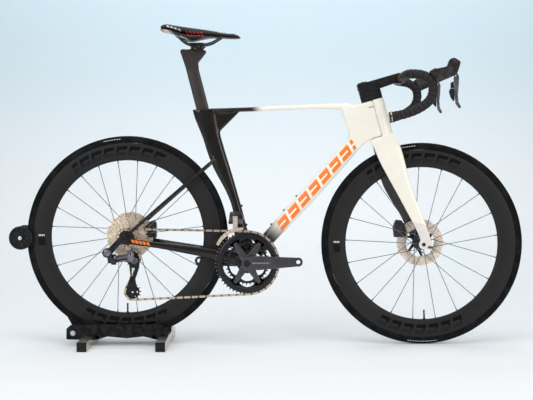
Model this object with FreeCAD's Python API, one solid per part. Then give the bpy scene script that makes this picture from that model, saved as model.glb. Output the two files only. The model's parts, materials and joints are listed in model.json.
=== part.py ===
import FreeCAD, Part
import math
import os

# Road bicycle held by a floor stand. Millimetres. +X forwards, +Y to the rider's left, +Z up.
# The origin is on the floor, under the middle of the overall length.
V = FreeCAD.Vector

# Wheels
TYRE_R = 339.5
TYRE_SECTION_R = 14.0
TYRE_WALL = 2.2
RIM_R = 316.4
RIM_INNER_R = 257.0
RIM_HALF_WIDTH = 13.5
SPOKE_R = 1.0
VALVE_LENGTH = 32.0
WHEELBASE = 994.0
REAR_LIFT = 23.0
STAND_ROLLER_R = 39.5
ROLLER_REACH = 354.8
ROLLER_DROP = 3.1

# The overall length runs from the stand's roller to the front tyre, centred on the origin
ROLLER_BACK = math.sqrt(ROLLER_REACH ** 2 - ROLLER_DROP ** 2)
LENGTH = STAND_ROLLER_R + ROLLER_BACK + WHEELBASE + TYRE_R
FRONT_HUB = V(LENGTH / 2 - TYRE_R, 0, TYRE_R)
REAR_HUB = V(FRONT_HUB.x - WHEELBASE, 0, TYRE_R + REAR_LIFT)
AXLE_R = 6.0
RUNNING_GAP = 0.05
ROTOR_R = 80.0
FRONT_ROTOR_Y = 38.0
REAR_ROTOR_Y = 56.4
ROTOR_HALF = 0.9

# Steering axis: it leans back and passes behind the front hub by the fork's offset
STEER_TILT = math.radians(15.5)
FORK_OFFSET = 45.0
STEER_UP = V(-math.sin(STEER_TILT), 0, math.cos(STEER_TILT))
STEER_FORWARD = V(math.cos(STEER_TILT), 0, math.sin(STEER_TILT))
STEER_BASE = FRONT_HUB - STEER_FORWARD * FORK_OFFSET
STEERER_R = 14.3
HEAD_R = 25.6
NOSE_INNER_R = 26.0
HEAD_BOTTOM = 385.0
HEAD_TOP = 510.0
SPACER_TOP = 541.8
STEM_TOP = 574.0

# Drivetrain
BOTTOM_BRACKET = V(REAR_HUB.x + 406.2, 0, REAR_HUB.z - 84.7)
CRANK_LENGTH = 170.0
CRANK_ANGLE = math.radians(1.5)
CRANK_AXLE_R = 12.0
SPIDER_ARMS = (58, 122, 238, 302)
CRANK_INNER_Y = 60.5
CRANK_OUTER_Y = 72.5
PEDAL_THREAD_R = 7.14
CHAIN_PITCH = 12.7
CHAIN_HALF_WIDTH = 2.5
CHAIN_HALF_HEIGHT = 4.0
CHAIN_TOOTH_GAP = 0.4
BIG_RING_TEETH = 52
SMALL_RING_TEETH = 36
BIG_RING_Y = -48.0
SMALL_RING_Y = -41.2
COG_TEETH = [11, 12, 13, 14, 15, 17, 19, 21, 24, 27, 30, 34]
COG_IN_USE = 3
COG_SPACING = 3.5
SMALLEST_COG_Y = -61.9
CHAIN_COG_Y = SMALLEST_COG_Y + COG_IN_USE * COG_SPACING
PULLEY_TEETH = 13
GUIDE_PULLEY = V(-446.0, CHAIN_COG_Y, 293.6)
TENSION_PULLEY = V(-444.8, CHAIN_COG_Y, 181.3)

# Rear derailleur linkage: link length, slant of its travel and where the links stand at rest
LINK_LENGTH = 52.0
LINK_SLANT = math.radians(48.0)
LINK_REST = math.radians(-14.1)
LINK_HALF_HEIGHT = 8.0
LINK_PIVOT_SPACING = 14.0
LINK_END_R = 4.5
LINK_ORIGIN = V(-500.0, -92.0, 298.0)
TRAVEL = V(0, math.cos(LINK_SLANT), -math.sin(LINK_SLANT))
LINK_AXIS = V(0, math.sin(LINK_SLANT), math.cos(LINK_SLANT))
LINK_STEP = (V(1, 0, 0) * math.cos(LINK_REST) + TRAVEL * math.sin(LINK_REST)) * LINK_LENGTH
LINK_FAR = LINK_ORIGIN + LINK_STEP
CAGE_PIVOT = V(-435.9, 0, 287.6)

# Seat
SEAT_TILT = math.radians(14.5)
SEAT_UP = V(-math.sin(SEAT_TILT), 0, math.cos(SEAT_TILT))
SEAT_BASE = V(-216.7, 0, 795.6)
POST_CHORD = 42.0
POST_HALF_WIDTH = 9.0
POST_GAP = 0.3
POST_INSERT = 95.0
SADDLE_PIVOT = V(-240.0, 0, 998.0)
RAIL_R = 3.5
RAIL_Y = 22.0

# Cockpit
BAR_R = 11.9
CLAMP_R = 15.9
TAPE_R = 15.5
HOOD_Y = 198.0
HOOD_HALF_WIDTH = 17.0
LEVER_PIVOT = V(607.0, 0, 890.0)
LEVER_PIN_R = 2.5

# Stand
FOOT_HALF = 16.0
FOOT_HALF_LENGTH = 152.0
FOOT_XS = [-596.0, -341.5]
PLATE_Y = 47.0
PLATE_THICKNESS = 2.5
ARM_PIVOT = V(-644.7, 0, 43.8)
ROLLER_CENTRE = V(REAR_HUB.x - ROLLER_BACK, 0, REAR_HUB.z - ROLLER_DROP)
ARM_Y = 36.5
ARM_THICKNESS = 5.0
ARM_HALF_WIDTH = 12.0
PIVOT_BOLT_R = 5.0
ROLLER_HALF_WIDTH = 30.0
SUPPORT_ROD_R = 6.0


def pitch_radius(teeth):
    return CHAIN_PITCH / (2 * math.sin(math.pi / teeth))


RING_R = pitch_radius(BIG_RING_TEETH)
COG_R = pitch_radius(COG_TEETH[COG_IN_USE])
PULLEY_R = pitch_radius(PULLEY_TEETH)


# ---- general shapes ----

def flat(point, y):
    """A point of the side view at the given distance across the bicycle."""
    return V(point[0], y, point[1])


def outline(points, corner=0.0):
    """Closed wire in the side view, its corners rounded."""
    corners = [V(x, 0, z) for x, z in points]
    edges = []
    starts = []
    ends = []
    for i, here in enumerate(corners):
        back = corners[i - 1] - here
        ahead = corners[(i + 1) % len(corners)] - here
        half_turn = back.getAngle(ahead) / 2
        reach = 0.45 * min(back.Length, ahead.Length)
        if corner and half_turn < 1.5:
            reach = min(reach, corner / math.tan(half_turn))
        start = here + back.normalize() * reach
        end = here + ahead.normalize() * reach
        inward = (back + ahead)
        radius = reach * math.tan(half_turn)
        if not corner or half_turn > 1.5:
            starts.append(here)
            ends.append(here)
            continue
        inward.normalize()
        middle = here + inward * (radius / math.sin(half_turn) - radius)
        edges.append(Part.Arc(start, middle, end).toShape())
        starts.append(start)
        ends.append(end)
    for i in range(len(corners)):
        nearer = ends[i - 1]
        if (starts[i] - nearer).Length > 1e-6:
            edges.append(Part.makeLine(nearer, starts[i]))
    return Part.Wire(Part.__sortEdges__(edges))


def plate(points, y_low, y_high, corner=0.0):
    """A flat piece of the given side view between two distances across the bicycle."""
    face = Part.Face(outline(points, corner))
    face.translate(V(0, y_low, 0))
    return face.extrude(V(0, y_high - y_low, 0))


def disc(centre, radius, y_low, y_high):
    return Part.makeCylinder(radius, y_high - y_low, V(centre.x, y_low, centre.z), V(0, 1, 0))


def rod(start, end, radius):
    return Part.makeCylinder(radius, (end - start).Length, start, end - start)


def turned(centre, profile):
    """Solid of revolution about a crosswise axis, from (radius, y) points."""
    points = [V(centre.x + radius, y, centre.z) for radius, y in profile]
    face = Part.Face(Part.makePolygon(points + points[:1]))
    return face.revolve(V(centre.x, 0, centre.z), V(0, 1, 0), 360)


def oval(edge_a, edge_b, half_width, y_mid=0.0, fullness=2.4, count=16):
    """Closed spline section between two side-view edge points, bulging to both sides."""
    a = flat(edge_a, y_mid)
    b = flat(edge_b, y_mid)
    middle = (a + b) * 0.5
    half = (a - b) * 0.5
    points = []
    for i in range(count):
        turn = 2 * math.pi * i / count
        along = math.copysign(abs(math.cos(turn)) ** (2 / fullness), math.cos(turn))
        across = math.copysign(abs(math.sin(turn)) ** (2 / fullness), math.sin(turn))
        points.append(middle + half * along + V(0, half_width * across, 0))
    curve = Part.BSplineCurve()
    curve.interpolate(points, PeriodicFlag=True)
    return Part.Wire(curve.toShape())


def loft(sections, straight=False):
    return Part.makeLoft(sections, True, straight, False, 3)


def route(points):
    """Straight runs joined by tangent arcs through the listed points."""
    edges = []
    last = points[0]
    for i in range(1, len(points) - 1):
        here = points[i]
        back = points[i - 1] - here
        ahead = points[i + 1] - here
        half_turn = back.getAngle(ahead) / 2
        reach = 0.45 * min(back.Length, ahead.Length)
        start = here + back.normalize() * reach
        end = here + ahead.normalize() * reach
        inward = back + ahead
        inward.normalize()
        radius = reach * math.tan(half_turn)
        middle = here + inward * (radius / math.sin(half_turn) - radius)
        edges.append(Part.makeLine(last, start))
        edges.append(Part.Arc(start, middle, end).toShape())
        last = end
    edges.append(Part.makeLine(last, points[-1]))
    return Part.Wire(edges)


def bent_tube(points, radius):
    path = route(points)
    profile = Part.Wire(Part.makeCircle(radius, points[0], points[1] - points[0]))
    return path.makePipeShell([profile], True, False)


def sector(centre, inner, outer, start, end, y_low, y_high):
    """Part of a ring between two angles, measured from +X towards +Z."""
    def at(radius, angle):
        return V(centre.x + radius * math.cos(angle), y_low, centre.z + radius * math.sin(angle))
    middle = (start + end) / 2
    edges = [
        Part.Arc(at(inner, start), at(inner, middle), at(inner, end)).toShape(),
        Part.makeLine(at(inner, end), at(outer, end)),
        Part.Arc(at(outer, end), at(outer, middle), at(outer, start)).toShape(),
        Part.makeLine(at(outer, start), at(inner, start)),
    ]
    return Part.Face(Part.Wire(edges)).extrude(V(0, y_high - y_low, 0))


def toothed(centre, teeth, tip, depth, y_low, y_high):
    points = []
    for i in range(teeth):
        for part, radius in ((0.0, tip - depth), (0.38, tip - depth), (0.55, tip), (0.83, tip)):
            angle = 2 * math.pi * (i + part) / teeth
            points.append((centre.x + radius * math.cos(angle), centre.z + radius * math.sin(angle)))
    return plate(points, y_low, y_high)


def mirrored(shape):
    return shape.mirror(V(0, 0, 0), V(0, 1, 0))


def fused(shapes):
    whole = shapes[0]
    if len(shapes) > 1:
        whole = whole.fuse(shapes[1:])
    return whole.removeSplitter()


def steer_point(along, forward, y=0.0):
    """A point by its height along the steering axis and its distance in front of it."""
    return STEER_BASE + STEER_UP * along + STEER_FORWARD * forward + V(0, y, 0)


def steer_edge(along, forward):
    point = steer_point(along, forward)
    return (point.x, point.z)


def save(name, shape):
    bad = [i for i, solid in enumerate(shape.Solids) if not solid.isValid()]
    solids = shape.Solids
    whole = solids[0] if len(solids) == 1 else Part.makeCompound(solids)
    whole.exportStep(os.path.join("parts", name + ".step"))
    print("%-26s solids %3d  %10.1f mm3%s" % (name, len(solids), shape.Volume, "  BAD" if bad else ""))


# ---- wheels ----

def tyre(hub):
    middle = V(hub.x + TYRE_R - TYRE_SECTION_R, 0, hub.z)
    outer = Part.Face(Part.Wire(Part.makeCircle(TYRE_SECTION_R, middle, V(0, 0, 1))))
    inner = Part.Face(Part.Wire(Part.makeCircle(TYRE_SECTION_R - TYRE_WALL, middle, V(0, 0, 1))))
    well = Part.makePlane(60, 60, V(hub.x + RIM_R + 0.1 - 60, -30, hub.z), V(0, 0, 1))
    section = outer.cut(inner).cut(well)
    return section.Faces[0].revolve(V(hub.x, 0, hub.z), V(0, 1, 0), 360)


def rim(hub, valve_angle):
    half = [(RIM_INNER_R, 3.0), (262.0, 7.0), (272.0, 10.5), (286.0, 13.0), (298.0, RIM_HALF_WIDTH),
            (309.0, 13.0), (RIM_R, 12.2), (RIM_R, 10.2), (311.5, 8.6), (309.0, 4.0)]
    other = [(radius, -y) for radius, y in reversed(half)]
    ring = turned(hub, half + other)
    outward = V(math.cos(valve_angle), 0, -math.sin(valve_angle))
    base = hub + outward * (RIM_INNER_R - VALVE_LENGTH)
    valve = Part.makeCylinder(3.0, VALVE_LENGTH + 2, base, outward)
    return ring.fuse(valve).removeSplitter()


def spoke(hub, rim_angle, hub_angle, flange_r, flange_y):
    outward = V(math.cos(rim_angle), 0, -math.sin(rim_angle))
    inward = V(math.cos(hub_angle), 0, -math.sin(hub_angle))
    start = hub + inward * flange_r + V(0, flange_y, 0)
    return rod(start, hub + outward * (RIM_INNER_R - 0.2), SPOKE_R)


def laced(hub, count, first_angle, straight, crossed):
    """Every third spoke runs straight to one flange, the other two cross to the other flange."""
    straight_r, straight_y = straight
    crossed_r, crossed_y = crossed
    swing = math.acos(crossed_r / RIM_INNER_R)
    side = math.copysign(1.6, crossed_y)
    spokes = []
    for i in range(count):
        angle = first_angle + 2 * math.pi * i / count
        if i % 3 == 0:
            spokes.append(spoke(hub, angle, angle, straight_r, straight_y))
        elif i % 3 == 1:
            spokes.append(spoke(hub, angle, angle + swing, crossed_r, crossed_y - side))
        else:
            spokes.append(spoke(hub, angle, angle - swing, crossed_r, crossed_y + side))
    return Part.makeCompound(spokes)


def front_hub():
    bore = AXLE_R + RUNNING_GAP
    return turned(FRONT_HUB, [(bore, -48.5), (9.5, -48.5), (9.5, -40), (13, -36), (19, -33), (19, -27),
                              (11.5, -22),
                              (11.5, 10), (20, 15), (20, 27), (15, 30), (17, 34), (17, 41), (9.5, 43),
                              (9.5, 48.5),
                              (bore, 48.5)])


def rear_hub():
    bore = AXLE_R + RUNNING_GAP
    return turned(REAR_HUB, [(bore, -21), (13, -21), (25, -20), (25, -12), (14, -7), (14, 28), (19, 32),
                             (19, 38),
                             (15, 42), (17, 50), (17, 60), (9.5, 62), (9.5, 69.5), (bore, 69.5)])


def rotor(hub, y):
    band = disc(hub, ROTOR_R, y - ROTOR_HALF, y + ROTOR_HALF)
    hole = disc(hub, 66, y - 5, y + 5)
    shapes = [band.cut(hole), disc(hub, 27, y - 1.5, y + 1.5)]
    for i in range(6):
        angle = math.radians(60 * i + 15)
        lean = math.radians(60 * i + 40)
        near = V(hub.x + 24 * math.cos(angle), 0, hub.z + 24 * math.sin(angle))
        far = V(hub.x + 69 * math.cos(lean), 0, hub.z + 69 * math.sin(lean))
        across = V(near.z - far.z, 0, far.x - near.x).normalize() * 4
        arm = [near + across, far + across, far - across, near - across]
        shapes.append(plate([(p.x, p.z) for p in arm], y - ROTOR_HALF, y + ROTOR_HALF))
    return fused(shapes).cut(disc(hub, 17, y - 5, y + 5))


def thru_axle(hub, y_low, y_high, head_r):
    shaft = disc(hub, AXLE_R, y_low, y_high)
    return shaft.fuse(disc(hub, head_r, y_high, y_high + 3)).removeSplitter()


# ---- frame ----

def head_section():
    body = plate([(263, 813), (324, 815.6), steer_edge(HEAD_TOP, -22), steer_edge(HEAD_TOP, 10),
                  steer_edge(HEAD_BOTTOM, 10), steer_edge(HEAD_BOTTOM, -25), (324.4, 669.7), (306, 652),
                  (277, 692.4), (279, 710), (262, 762), (256.4, 787)], -20.5, 20.5)
    body = body.fuse(rod(steer_point(HEAD_BOTTOM, 0), steer_point(HEAD_TOP, 0), HEAD_R))
    above = Part.makeBox(200, 120, 40, V(-100, -60, 0))
    above.Placement = FreeCAD.Placement(steer_point(HEAD_TOP, 0), FreeCAD.Rotation(V(0, 1, 0), -15.5))
    bore = rod(steer_point(HEAD_BOTTOM - 9, 0), steer_point(HEAD_TOP + 9, 0), STEERER_R + RUNNING_GAP)
    return body.cut(above).cut(bore).removeSplitter()


def top_tube():
    return loft([oval((-166, 796.5), (-166, 781), 15), oval((-35, 800.4), (-35, 785), 17),
                 oval((113, 807), (113, 790.5), 18.5), oval((250, 812.4), (250, 790), 20),
                 oval((285, 813.8), (285, 786), 20.5)])


def down_tube():
    tube = loft([oval((-52, 326), (-16, 292), 28), oval((-9.2, 374), (25.3, 341.5), 26),
                 oval((85.2, 479.1), (120, 440), 24), oval((179.5, 584.1), (212, 541), 22),
                 oval((282, 698), (314, 657), 20)])
    for x, z in BOTTLE_BOLTS_DOWN:
        tube = tube.cut(rod(V(x + 17, 0, z - 15.3), V(x - 6, 0, z + 5.4), BOTTLE_BOLT_R))
    return tube


BOTTLE_BOLT_R = 2.6
BOTTLE_BOLT_PITCH = 64.0
BOTTLE_BOLTS_DOWN = [(16.6, 402.7), (16.6 + BOTTLE_BOLT_PITCH * 0.668, 402.7 + BOTTLE_BOLT_PITCH * 0.744)]


def seat_tube():
    tube = loft([oval((-44, 325), (-98, 318), 21), oval((-50, 350), (-104, 345), 20),
                 oval((-67.4, 395.6), (-111, 398), 18), oval((-80.5, 447), (-113.8, 447.4), 16),
                 oval((-105, 533.7), (-147.3, 533.7), 14), oval((-121.5, 590), (-177.8, 590), 14),
                 oval((-140.9, 654.5), (-203, 654.5), 14.5), oval((-157.8, 718), (-226, 718.8), 15),
                 oval((-168, 796.6), (-250.5, 791.6), 16)])
    gusset = plate([(-85, 790), (-160, 714), (-170, 790)], -8, 8)
    return tube.fuse(gusset).removeSplitter()


def post_prism(chord, half_width, bottom, top):
    lean = SEAT_UP
    low = SEAT_BASE + lean * bottom
    high = SEAT_BASE + lean * top
    half = V(lean.z, 0, -lean.x) * (chord / 2)
    sections = []
    for middle in (low, high):
        front = middle + half
        rear = middle - half
        sections.append(oval((front.x, front.z), (rear.x, rear.z), half_width))
    return loft(sections, True)


def chainstay(side):
    """The disc side swings wide around the rotor, the drive side around the cassette."""
    waist = 68.0 if side > 0 else 69.5
    stay = loft([oval((-452, 361), (-452, 343), 5, side * 74), oval((-400, 353.3), (-400, 334), 5,
                                                                    side * waist),
                 oval((-345, 345.5), (-345, 324), 7, side * 56), oval((-270, 335.5), (-270, 308), 8,
                                                                      side * 40),
                 oval((-200, 326), (-200, 293), 8.5, side * 31), oval((-160, 320), (-160, 283), 9,
                                                                      side * 29.5),
                 oval((-95, 312), (-95, 262), 11, side * 26)])
    dropout = plate([(-487, 350), (-487, 376), (-474, 388), (-452, 386), (-436, 372), (-436, 348),
                     (-455, 338), (-474, 340)], 70.5, 79, 8)
    if side < 0:
        dropout = mirrored(dropout)
    return stay.fuse(dropout).cut(disc(REAR_HUB, AXLE_R, -90, 90)).removeSplitter()


def seatstay(side):
    points = [V(-170, side * 9, 628), V(-196, side * 24, 604), V(-330, side * 47, 487),
              V(-462, side * 75, 371)]
    return bent_tube(points, 6.0)


def bottom_bracket_shell():
    return disc(BOTTOM_BRACKET, 36, -42, 42).cut(disc(BOTTOM_BRACKET, 23, -60, 60))


def bottom_bracket_cups():
    cups = []
    for side in (-1, 1):
        cup = disc(BOTTOM_BRACKET, 23, 20, 42).fuse(disc(BOTTOM_BRACKET, 25, 42, 46))
        cup = cup.cut(disc(BOTTOM_BRACKET, CRANK_AXLE_R + RUNNING_GAP, 0, 60)).removeSplitter()
        cups.append(cup if side > 0 else mirrored(cup))
    return cups


def frame_parts():
    head = head_section()
    shell = bottom_bracket_shell()
    bore = disc(BOTTOM_BRACKET, 23, -60, 60)
    socket = post_prism(POST_CHORD + 2 * POST_GAP, POST_HALF_WIDTH + POST_GAP, -138, 30)
    seat = seat_tube().cut(socket).cut(shell).cut(bore)
    top = top_tube().cut(head).cut(seat).cut(socket)
    down = down_tube().cut(head).cut(shell).cut(bore).cut(seat)
    lower = [chainstay(side).cut(shell).cut(bore).cut(seat).cut(down) for side in (-1, 1)]
    upper = [seatstay(side).cut(seat).cut(lower[0]).cut(lower[1]) for side in (-1, 1)]
    return {"head_section": head, "top_tube": biggest(top), "seat_tube": biggest(seat),
            "down_tube": biggest(down),
            "bottom_bracket": Part.makeCompound([shell] + bottom_bracket_cups()),
            "chainstays": Part.makeCompound([biggest(stay) for stay in lower]),
            "seatstays": Part.makeCompound([biggest(stay) for stay in upper])}


def biggest(shape):
    return max(shape.Solids, key=lambda solid: solid.Volume)


def rear_caliper(stays):
    body = plate([(-415, 356), (-415, 396), (-404, 406), (-386, 416), (-378, 404), (-378, 352)], 46, 66, 4)
    slot = disc(REAR_HUB, ROTOR_R + 2, REAR_ROTOR_Y - 1.8, REAR_ROTOR_Y + 1.8)
    return biggest(body.cut(slot).cut(stays))


# ---- seat ----

def seatpost():
    post = post_prism(POST_CHORD, POST_HALF_WIDTH, -POST_INSERT, 160)
    neck = plate([(-270, 925), (-279, 950), (-292, 988), (-286, 995), (-262, 994), (-240, 1004), (-224, 996),
                  (-203, 990), (-206, 981), (-231, 950), (-229, 925)], -POST_HALF_WIDTH - 1,
                  POST_HALF_WIDTH + 1, 4)
    head = disc(SADDLE_PIVOT, 14, -14, 14)
    bore = disc(SADDLE_PIVOT, 9 + RUNNING_GAP, -20, 20)
    return fused([post, neck, head]).cut(bore)


def saddle_rails():
    rails = []
    for side in (-1, 1):
        points = [V(-306, side * 24, 1043), V(-270, side * RAIL_Y, 1010), V(-192, side * RAIL_Y, 1010),
                  V(-150, side * 16, 1036)]
        rails.append(bent_tube(points, RAIL_R))
    return Part.makeCompound(rails)


def saddle_clamp(rails):
    barrel = disc(SADDLE_PIVOT, 9, -27, 27)
    jaws = [plate([(-256, 1003), (-258, 1015), (-210, 1015), (-208, 1003), (-228, 988), (-250, 988)], low,
                  low + 12.2, 4)
            for low in (14.6, -26.8)]
    return fused([barrel] + jaws).cut(rails)


# Saddle stations: distance along X, half width, wing edge, joint line and top heights
SADDLE_STATIONS = [(-357, 34, 1056, 1061, 1070), (-338, 60, 1046, 1057, 1077), (-300, 71, 1034, 1051,
                                                                                1069.5),
                   (-258, 62, 1021, 1043, 1064), (-215, 42, 1029, 1040, 1059.5), (-180, 28, 1033, 1039,
                                                                                  1055),
                   (-140, 21, 1031.5, 1036, 1049.5), (-106, 18, 1030, 1034.5, 1045),
                   (-88, 10, 1031.5, 1034, 1038)]


def saddle_loft(low_index, high_index, gap):
    sections = []
    for station in SADDLE_STATIONS:
        x, half = station[0], station[1]
        low = station[low_index] + gap
        sections.append(oval((x, station[high_index]), (x, low), half - gap))
    return loft(sections)


# ---- steering ----

def fork_blade(side):
    rear_low = [(414.8, 500.4), (455, 436), (480, 385), (505, 334)]
    rear_near = [(439.2, 504.2), (480, 428), (502, 384), (518, 334)]
    rear = rear_low if side > 0 else rear_near
    blade = loft([oval((441, 689), (354, 688), 11, side * 29), oval((458, 640), (369, 640), 8.5, side * 33),
                  oval((495.6, 504.2), rear[0], 6.5, side * 43), oval((524, 430), rear[1], 5.5, side * 49.5),
                  oval((540, 384), rear[2], 5, side * 54), oval((553, 336), rear[3], 5, side * 54.8)])
    lobe = disc(FRONT_HUB, 16, 50, 60)
    if side < 0:
        lobe = mirrored(lobe)
    return blade.fuse(lobe)


def turning_room():
    """The space that the underside of the head sweeps over the crown as the fork turns."""
    ring = [(24.5, HEAD_BOTTOM - 0.6), (70, HEAD_BOTTOM - 18.4), (70, HEAD_BOTTOM + 8),
            (24.5, HEAD_BOTTOM + 8)]
    points = [steer_point(along, forward) for forward, along in ring]
    swept = Part.Face(Part.makePolygon(points + points[:1])).revolve(STEER_BASE, STEER_UP, 360)
    rear = Part.makeBox(106, 200, 60, V(-100, -100, 0))
    rear.Placement = FreeCAD.Placement(steer_point(HEAD_BOTTOM - 30, 0), FreeCAD.Rotation(V(0, 1, 0), -15.5))
    return swept.common(rear)


def fork():
    crown = plate([steer_edge(HEAD_BOTTOM - 0.4, -26), steer_edge(HEAD_BOTTOM - 0.4, 51), (437, 690),
                   (447, 668),
                   (410, 650), (352, 672)], -38, 38)
    wheel_room = disc(FRONT_HUB, TYRE_R + 7, -20, 20)
    nose_sections = []
    for along in (HEAD_BOTTOM - 6, HEAD_TOP - 0.4):
        nose_sections.append(oval(steer_edge(along, 51.5), steer_edge(along, -30), 29))
    nose = loft(nose_sections, True)
    back_half = Part.makeBox(80, 90, 200, V(-80, -45, 0))
    back_half.Placement = FreeCAD.Placement(steer_point(HEAD_BOTTOM - 10, 12.5),
                                            FreeCAD.Rotation(V(0, 1, 0), -15.5))
    round_room = rod(steer_point(HEAD_BOTTOM - 0.4, 0), steer_point(HEAD_TOP + 20, 0), NOSE_INNER_R)
    nose = nose.cut(back_half).cut(round_room)
    steerer = rod(steer_point(HEAD_BOTTOM - 12, 0), steer_point(SPACER_TOP, 0), STEERER_R)
    body = fused([crown.cut(wheel_room).cut(turning_room()), nose, steerer,
                  fork_blade(-1).cut(turning_room()), fork_blade(1).cut(turning_room())])
    return body.cut(disc(FRONT_HUB, AXLE_R, -90, 90)).removeSplitter()


def front_caliper(fork_shape):
    body = plate([(434, 357), (430, 392), (440, 417), (462, 414), (478, 380), (476, 358)], 27, 48, 4)
    slot = disc(FRONT_HUB, ROTOR_R + 2, FRONT_ROTOR_Y - 1.8, FRONT_ROTOR_Y + 1.8)
    arm = plate([(444, 392), (452, 410), (478, 402), (490, 372), (474, 368)], 41, 50, 3)
    return biggest(body.fuse(arm).cut(slot).cut(fork_shape))


def spacers():
    bodies = []
    count = 3
    step = (SPACER_TOP - HEAD_TOP) / count
    for i in range(count):
        low = HEAD_TOP + i * step + 0.3
        high = HEAD_TOP + (i + 1) * step
        sections = [oval(steer_edge(along, 50), steer_edge(along, -24), 22) for along in (low, high)]
        bodies.append(loft(sections, True).cut(rod(steer_point(low - 5, 0), steer_point(high + 5, 0),
                                                   STEERER_R)))
    return Part.makeCompound(bodies)


def stem(bar):
    points = [steer_edge(SPACER_TOP, -23), steer_edge(SPACER_TOP, 48), (429, 879), (452, 878), (470, 886),
              (473, 900), (462, 914), (444, 914), steer_edge(STEM_TOP, 30), steer_edge(STEM_TOP, -24)]
    body = plate(points, -20, 20)
    cap = rod(steer_point(STEM_TOP, -4), steer_point(STEM_TOP + 3.5, -4), 16)
    return body.fuse(cap).cut(bar).removeSplitter()


# Bar centreline on one side: forwards position, distance out, height
BAR_ROUTE = [(455, 135, 897), (466, 182, 899), (508, 196, 893.5), (534, 198, 872),
             (536.5, 199, 838), (524, 199, 809), (488, 200, 783.5), (441, 200, 766.5), (398, 200, 759.5)]
TAPE_START_Y = 84.0


def bar_points(side):
    return [V(x, side * y, z) for x, y, z in BAR_ROUTE]


def handlebar():
    clamp = rod(V(455, -32, 897), V(455, 32, 897), CLAMP_R)
    bar = bent_tube(list(reversed(bar_points(-1))) + bar_points(1), BAR_R)
    plugs = []
    for side in (-1, 1):
        end = V(398, side * 200, 759.5)
        plugs.append(rod(end, end - V(4, 0, 0.6), 14))
    return fused([bar, clamp] + plugs)


def bar_tape(bar, hoods):
    sides = []
    for side in (-1, 1):
        points = [V(455, side * TAPE_START_Y, 897)] + bar_points(side)
        sleeve = bent_tube(points, TAPE_R).cut(bar).cut(hoods)
        sides += [solid for solid in sleeve.Solids if solid.Volume > 100]
    return Part.makeCompound(sides)


def hood(side):
    body = plate([(520, 906), (552, 914.5), (580, 920), (588, 944), (602, 949), (623, 935), (618, 918),
                  (612, 897),
                  (600, 889), (575, 879), (546, 866), (536, 880)], HOOD_Y - HOOD_HALF_WIDTH,
                  HOOD_Y + HOOD_HALF_WIDTH, 5)
    slot = Part.makeBox(60, 18, 50, V(596, HOOD_Y - 9, 860))
    pin = rod(V(LEVER_PIVOT.x, HOOD_Y - 12, LEVER_PIVOT.z), V(LEVER_PIVOT.x, HOOD_Y + 12, LEVER_PIVOT.z),
              LEVER_PIN_R)
    body = body.cut(slot).fuse(pin).removeSplitter()
    return body if side > 0 else mirrored(body)


def brake_lever(side):
    body = plate([(602, 896), (612, 899), (618, 888), (617, 860), (614, 830), (616, 808), (625, 790),
                  (618, 785),
                  (607, 800), (604, 830), (604, 862), (601, 882)], HOOD_Y - 7, HOOD_Y + 7, 3)
    hole = rod(V(LEVER_PIVOT.x, HOOD_Y - 20, LEVER_PIVOT.z), V(LEVER_PIVOT.x, HOOD_Y + 20, LEVER_PIVOT.z),
               LEVER_PIN_R + RUNNING_GAP)
    body = body.cut(hole)
    return body if side > 0 else mirrored(body)


def shift_button(side, upper):
    if upper:
        points = [(602.8, 851), (591, 851), (592, 868), (600.6, 874)]
    else:
        points = [(603, 850), (590, 850), (586, 840), (592, 820), (603, 806)]
    body = plate(points, HOOD_Y - 5, HOOD_Y + 5, 2)
    return body if side > 0 else mirrored(body)


# ---- drivetrain ----

def cassette():
    span = COG_SPACING * (len(COG_TEETH) - 1)
    shapes = [disc(REAR_HUB, 17, SMALLEST_COG_Y - 2.5, SMALLEST_COG_Y + span + 1.2)]
    for i, teeth in enumerate(COG_TEETH):
        y = SMALLEST_COG_Y + i * COG_SPACING
        tip = pitch_radius(teeth) + 1.5
        if i == COG_IN_USE:
            tip = COG_R - CHAIN_HALF_HEIGHT - CHAIN_TOOTH_GAP
        shapes.append(toothed(REAR_HUB, teeth, tip, 3.0, y - 0.75, y + 0.75))
    return fused(shapes).cut(disc(REAR_HUB, AXLE_R + RUNNING_GAP, -80, 0))


def chainrings():
    tip = RING_R - CHAIN_HALF_HEIGHT - CHAIN_TOOTH_GAP
    big = toothed(BOTTOM_BRACKET, BIG_RING_TEETH, tip, 2.5, BIG_RING_Y - 1, BIG_RING_Y + 1)
    small = toothed(BOTTOM_BRACKET, SMALL_RING_TEETH, pitch_radius(SMALL_RING_TEETH) + 2, 4,
                    SMALL_RING_Y - 1, SMALL_RING_Y + 1)
    shapes = [big.cut(disc(BOTTOM_BRACKET, 82, -60, 0)), small.cut(disc(BOTTOM_BRACKET, 60, -60, 0))]
    for degrees in SPIDER_ARMS:
        angle = math.radians(degrees)
        outward = V(math.cos(angle), 0, math.sin(angle))
        across = V(-outward.z, 0, outward.x) * 10
        inner = BOTTOM_BRACKET + outward * 47
        outer = BOTTOM_BRACKET + outward * 86
        middle = BOTTOM_BRACKET + outward * 63
        tab = [inner + across, outer + across * 2.5, outer - across * 2.5, inner - across]
        shapes.append(plate([(p.x, p.z) for p in tab], BIG_RING_Y - 1, BIG_RING_Y + 1))
        short = [inner + across, middle + across * 1.6, middle - across * 1.6, inner - across]
        shapes.append(plate([(p.x, p.z) for p in short], SMALL_RING_Y - 1, SMALL_RING_Y + 1))
        shapes.append(disc(BOTTOM_BRACKET + outward * 55, 5, BIG_RING_Y, SMALL_RING_Y))
    return fused(shapes)


def crank_end(side):
    reach = V(math.cos(CRANK_ANGLE), 0, math.sin(CRANK_ANGLE)) * CRANK_LENGTH
    return BOTTOM_BRACKET + reach * (-side)


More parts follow.
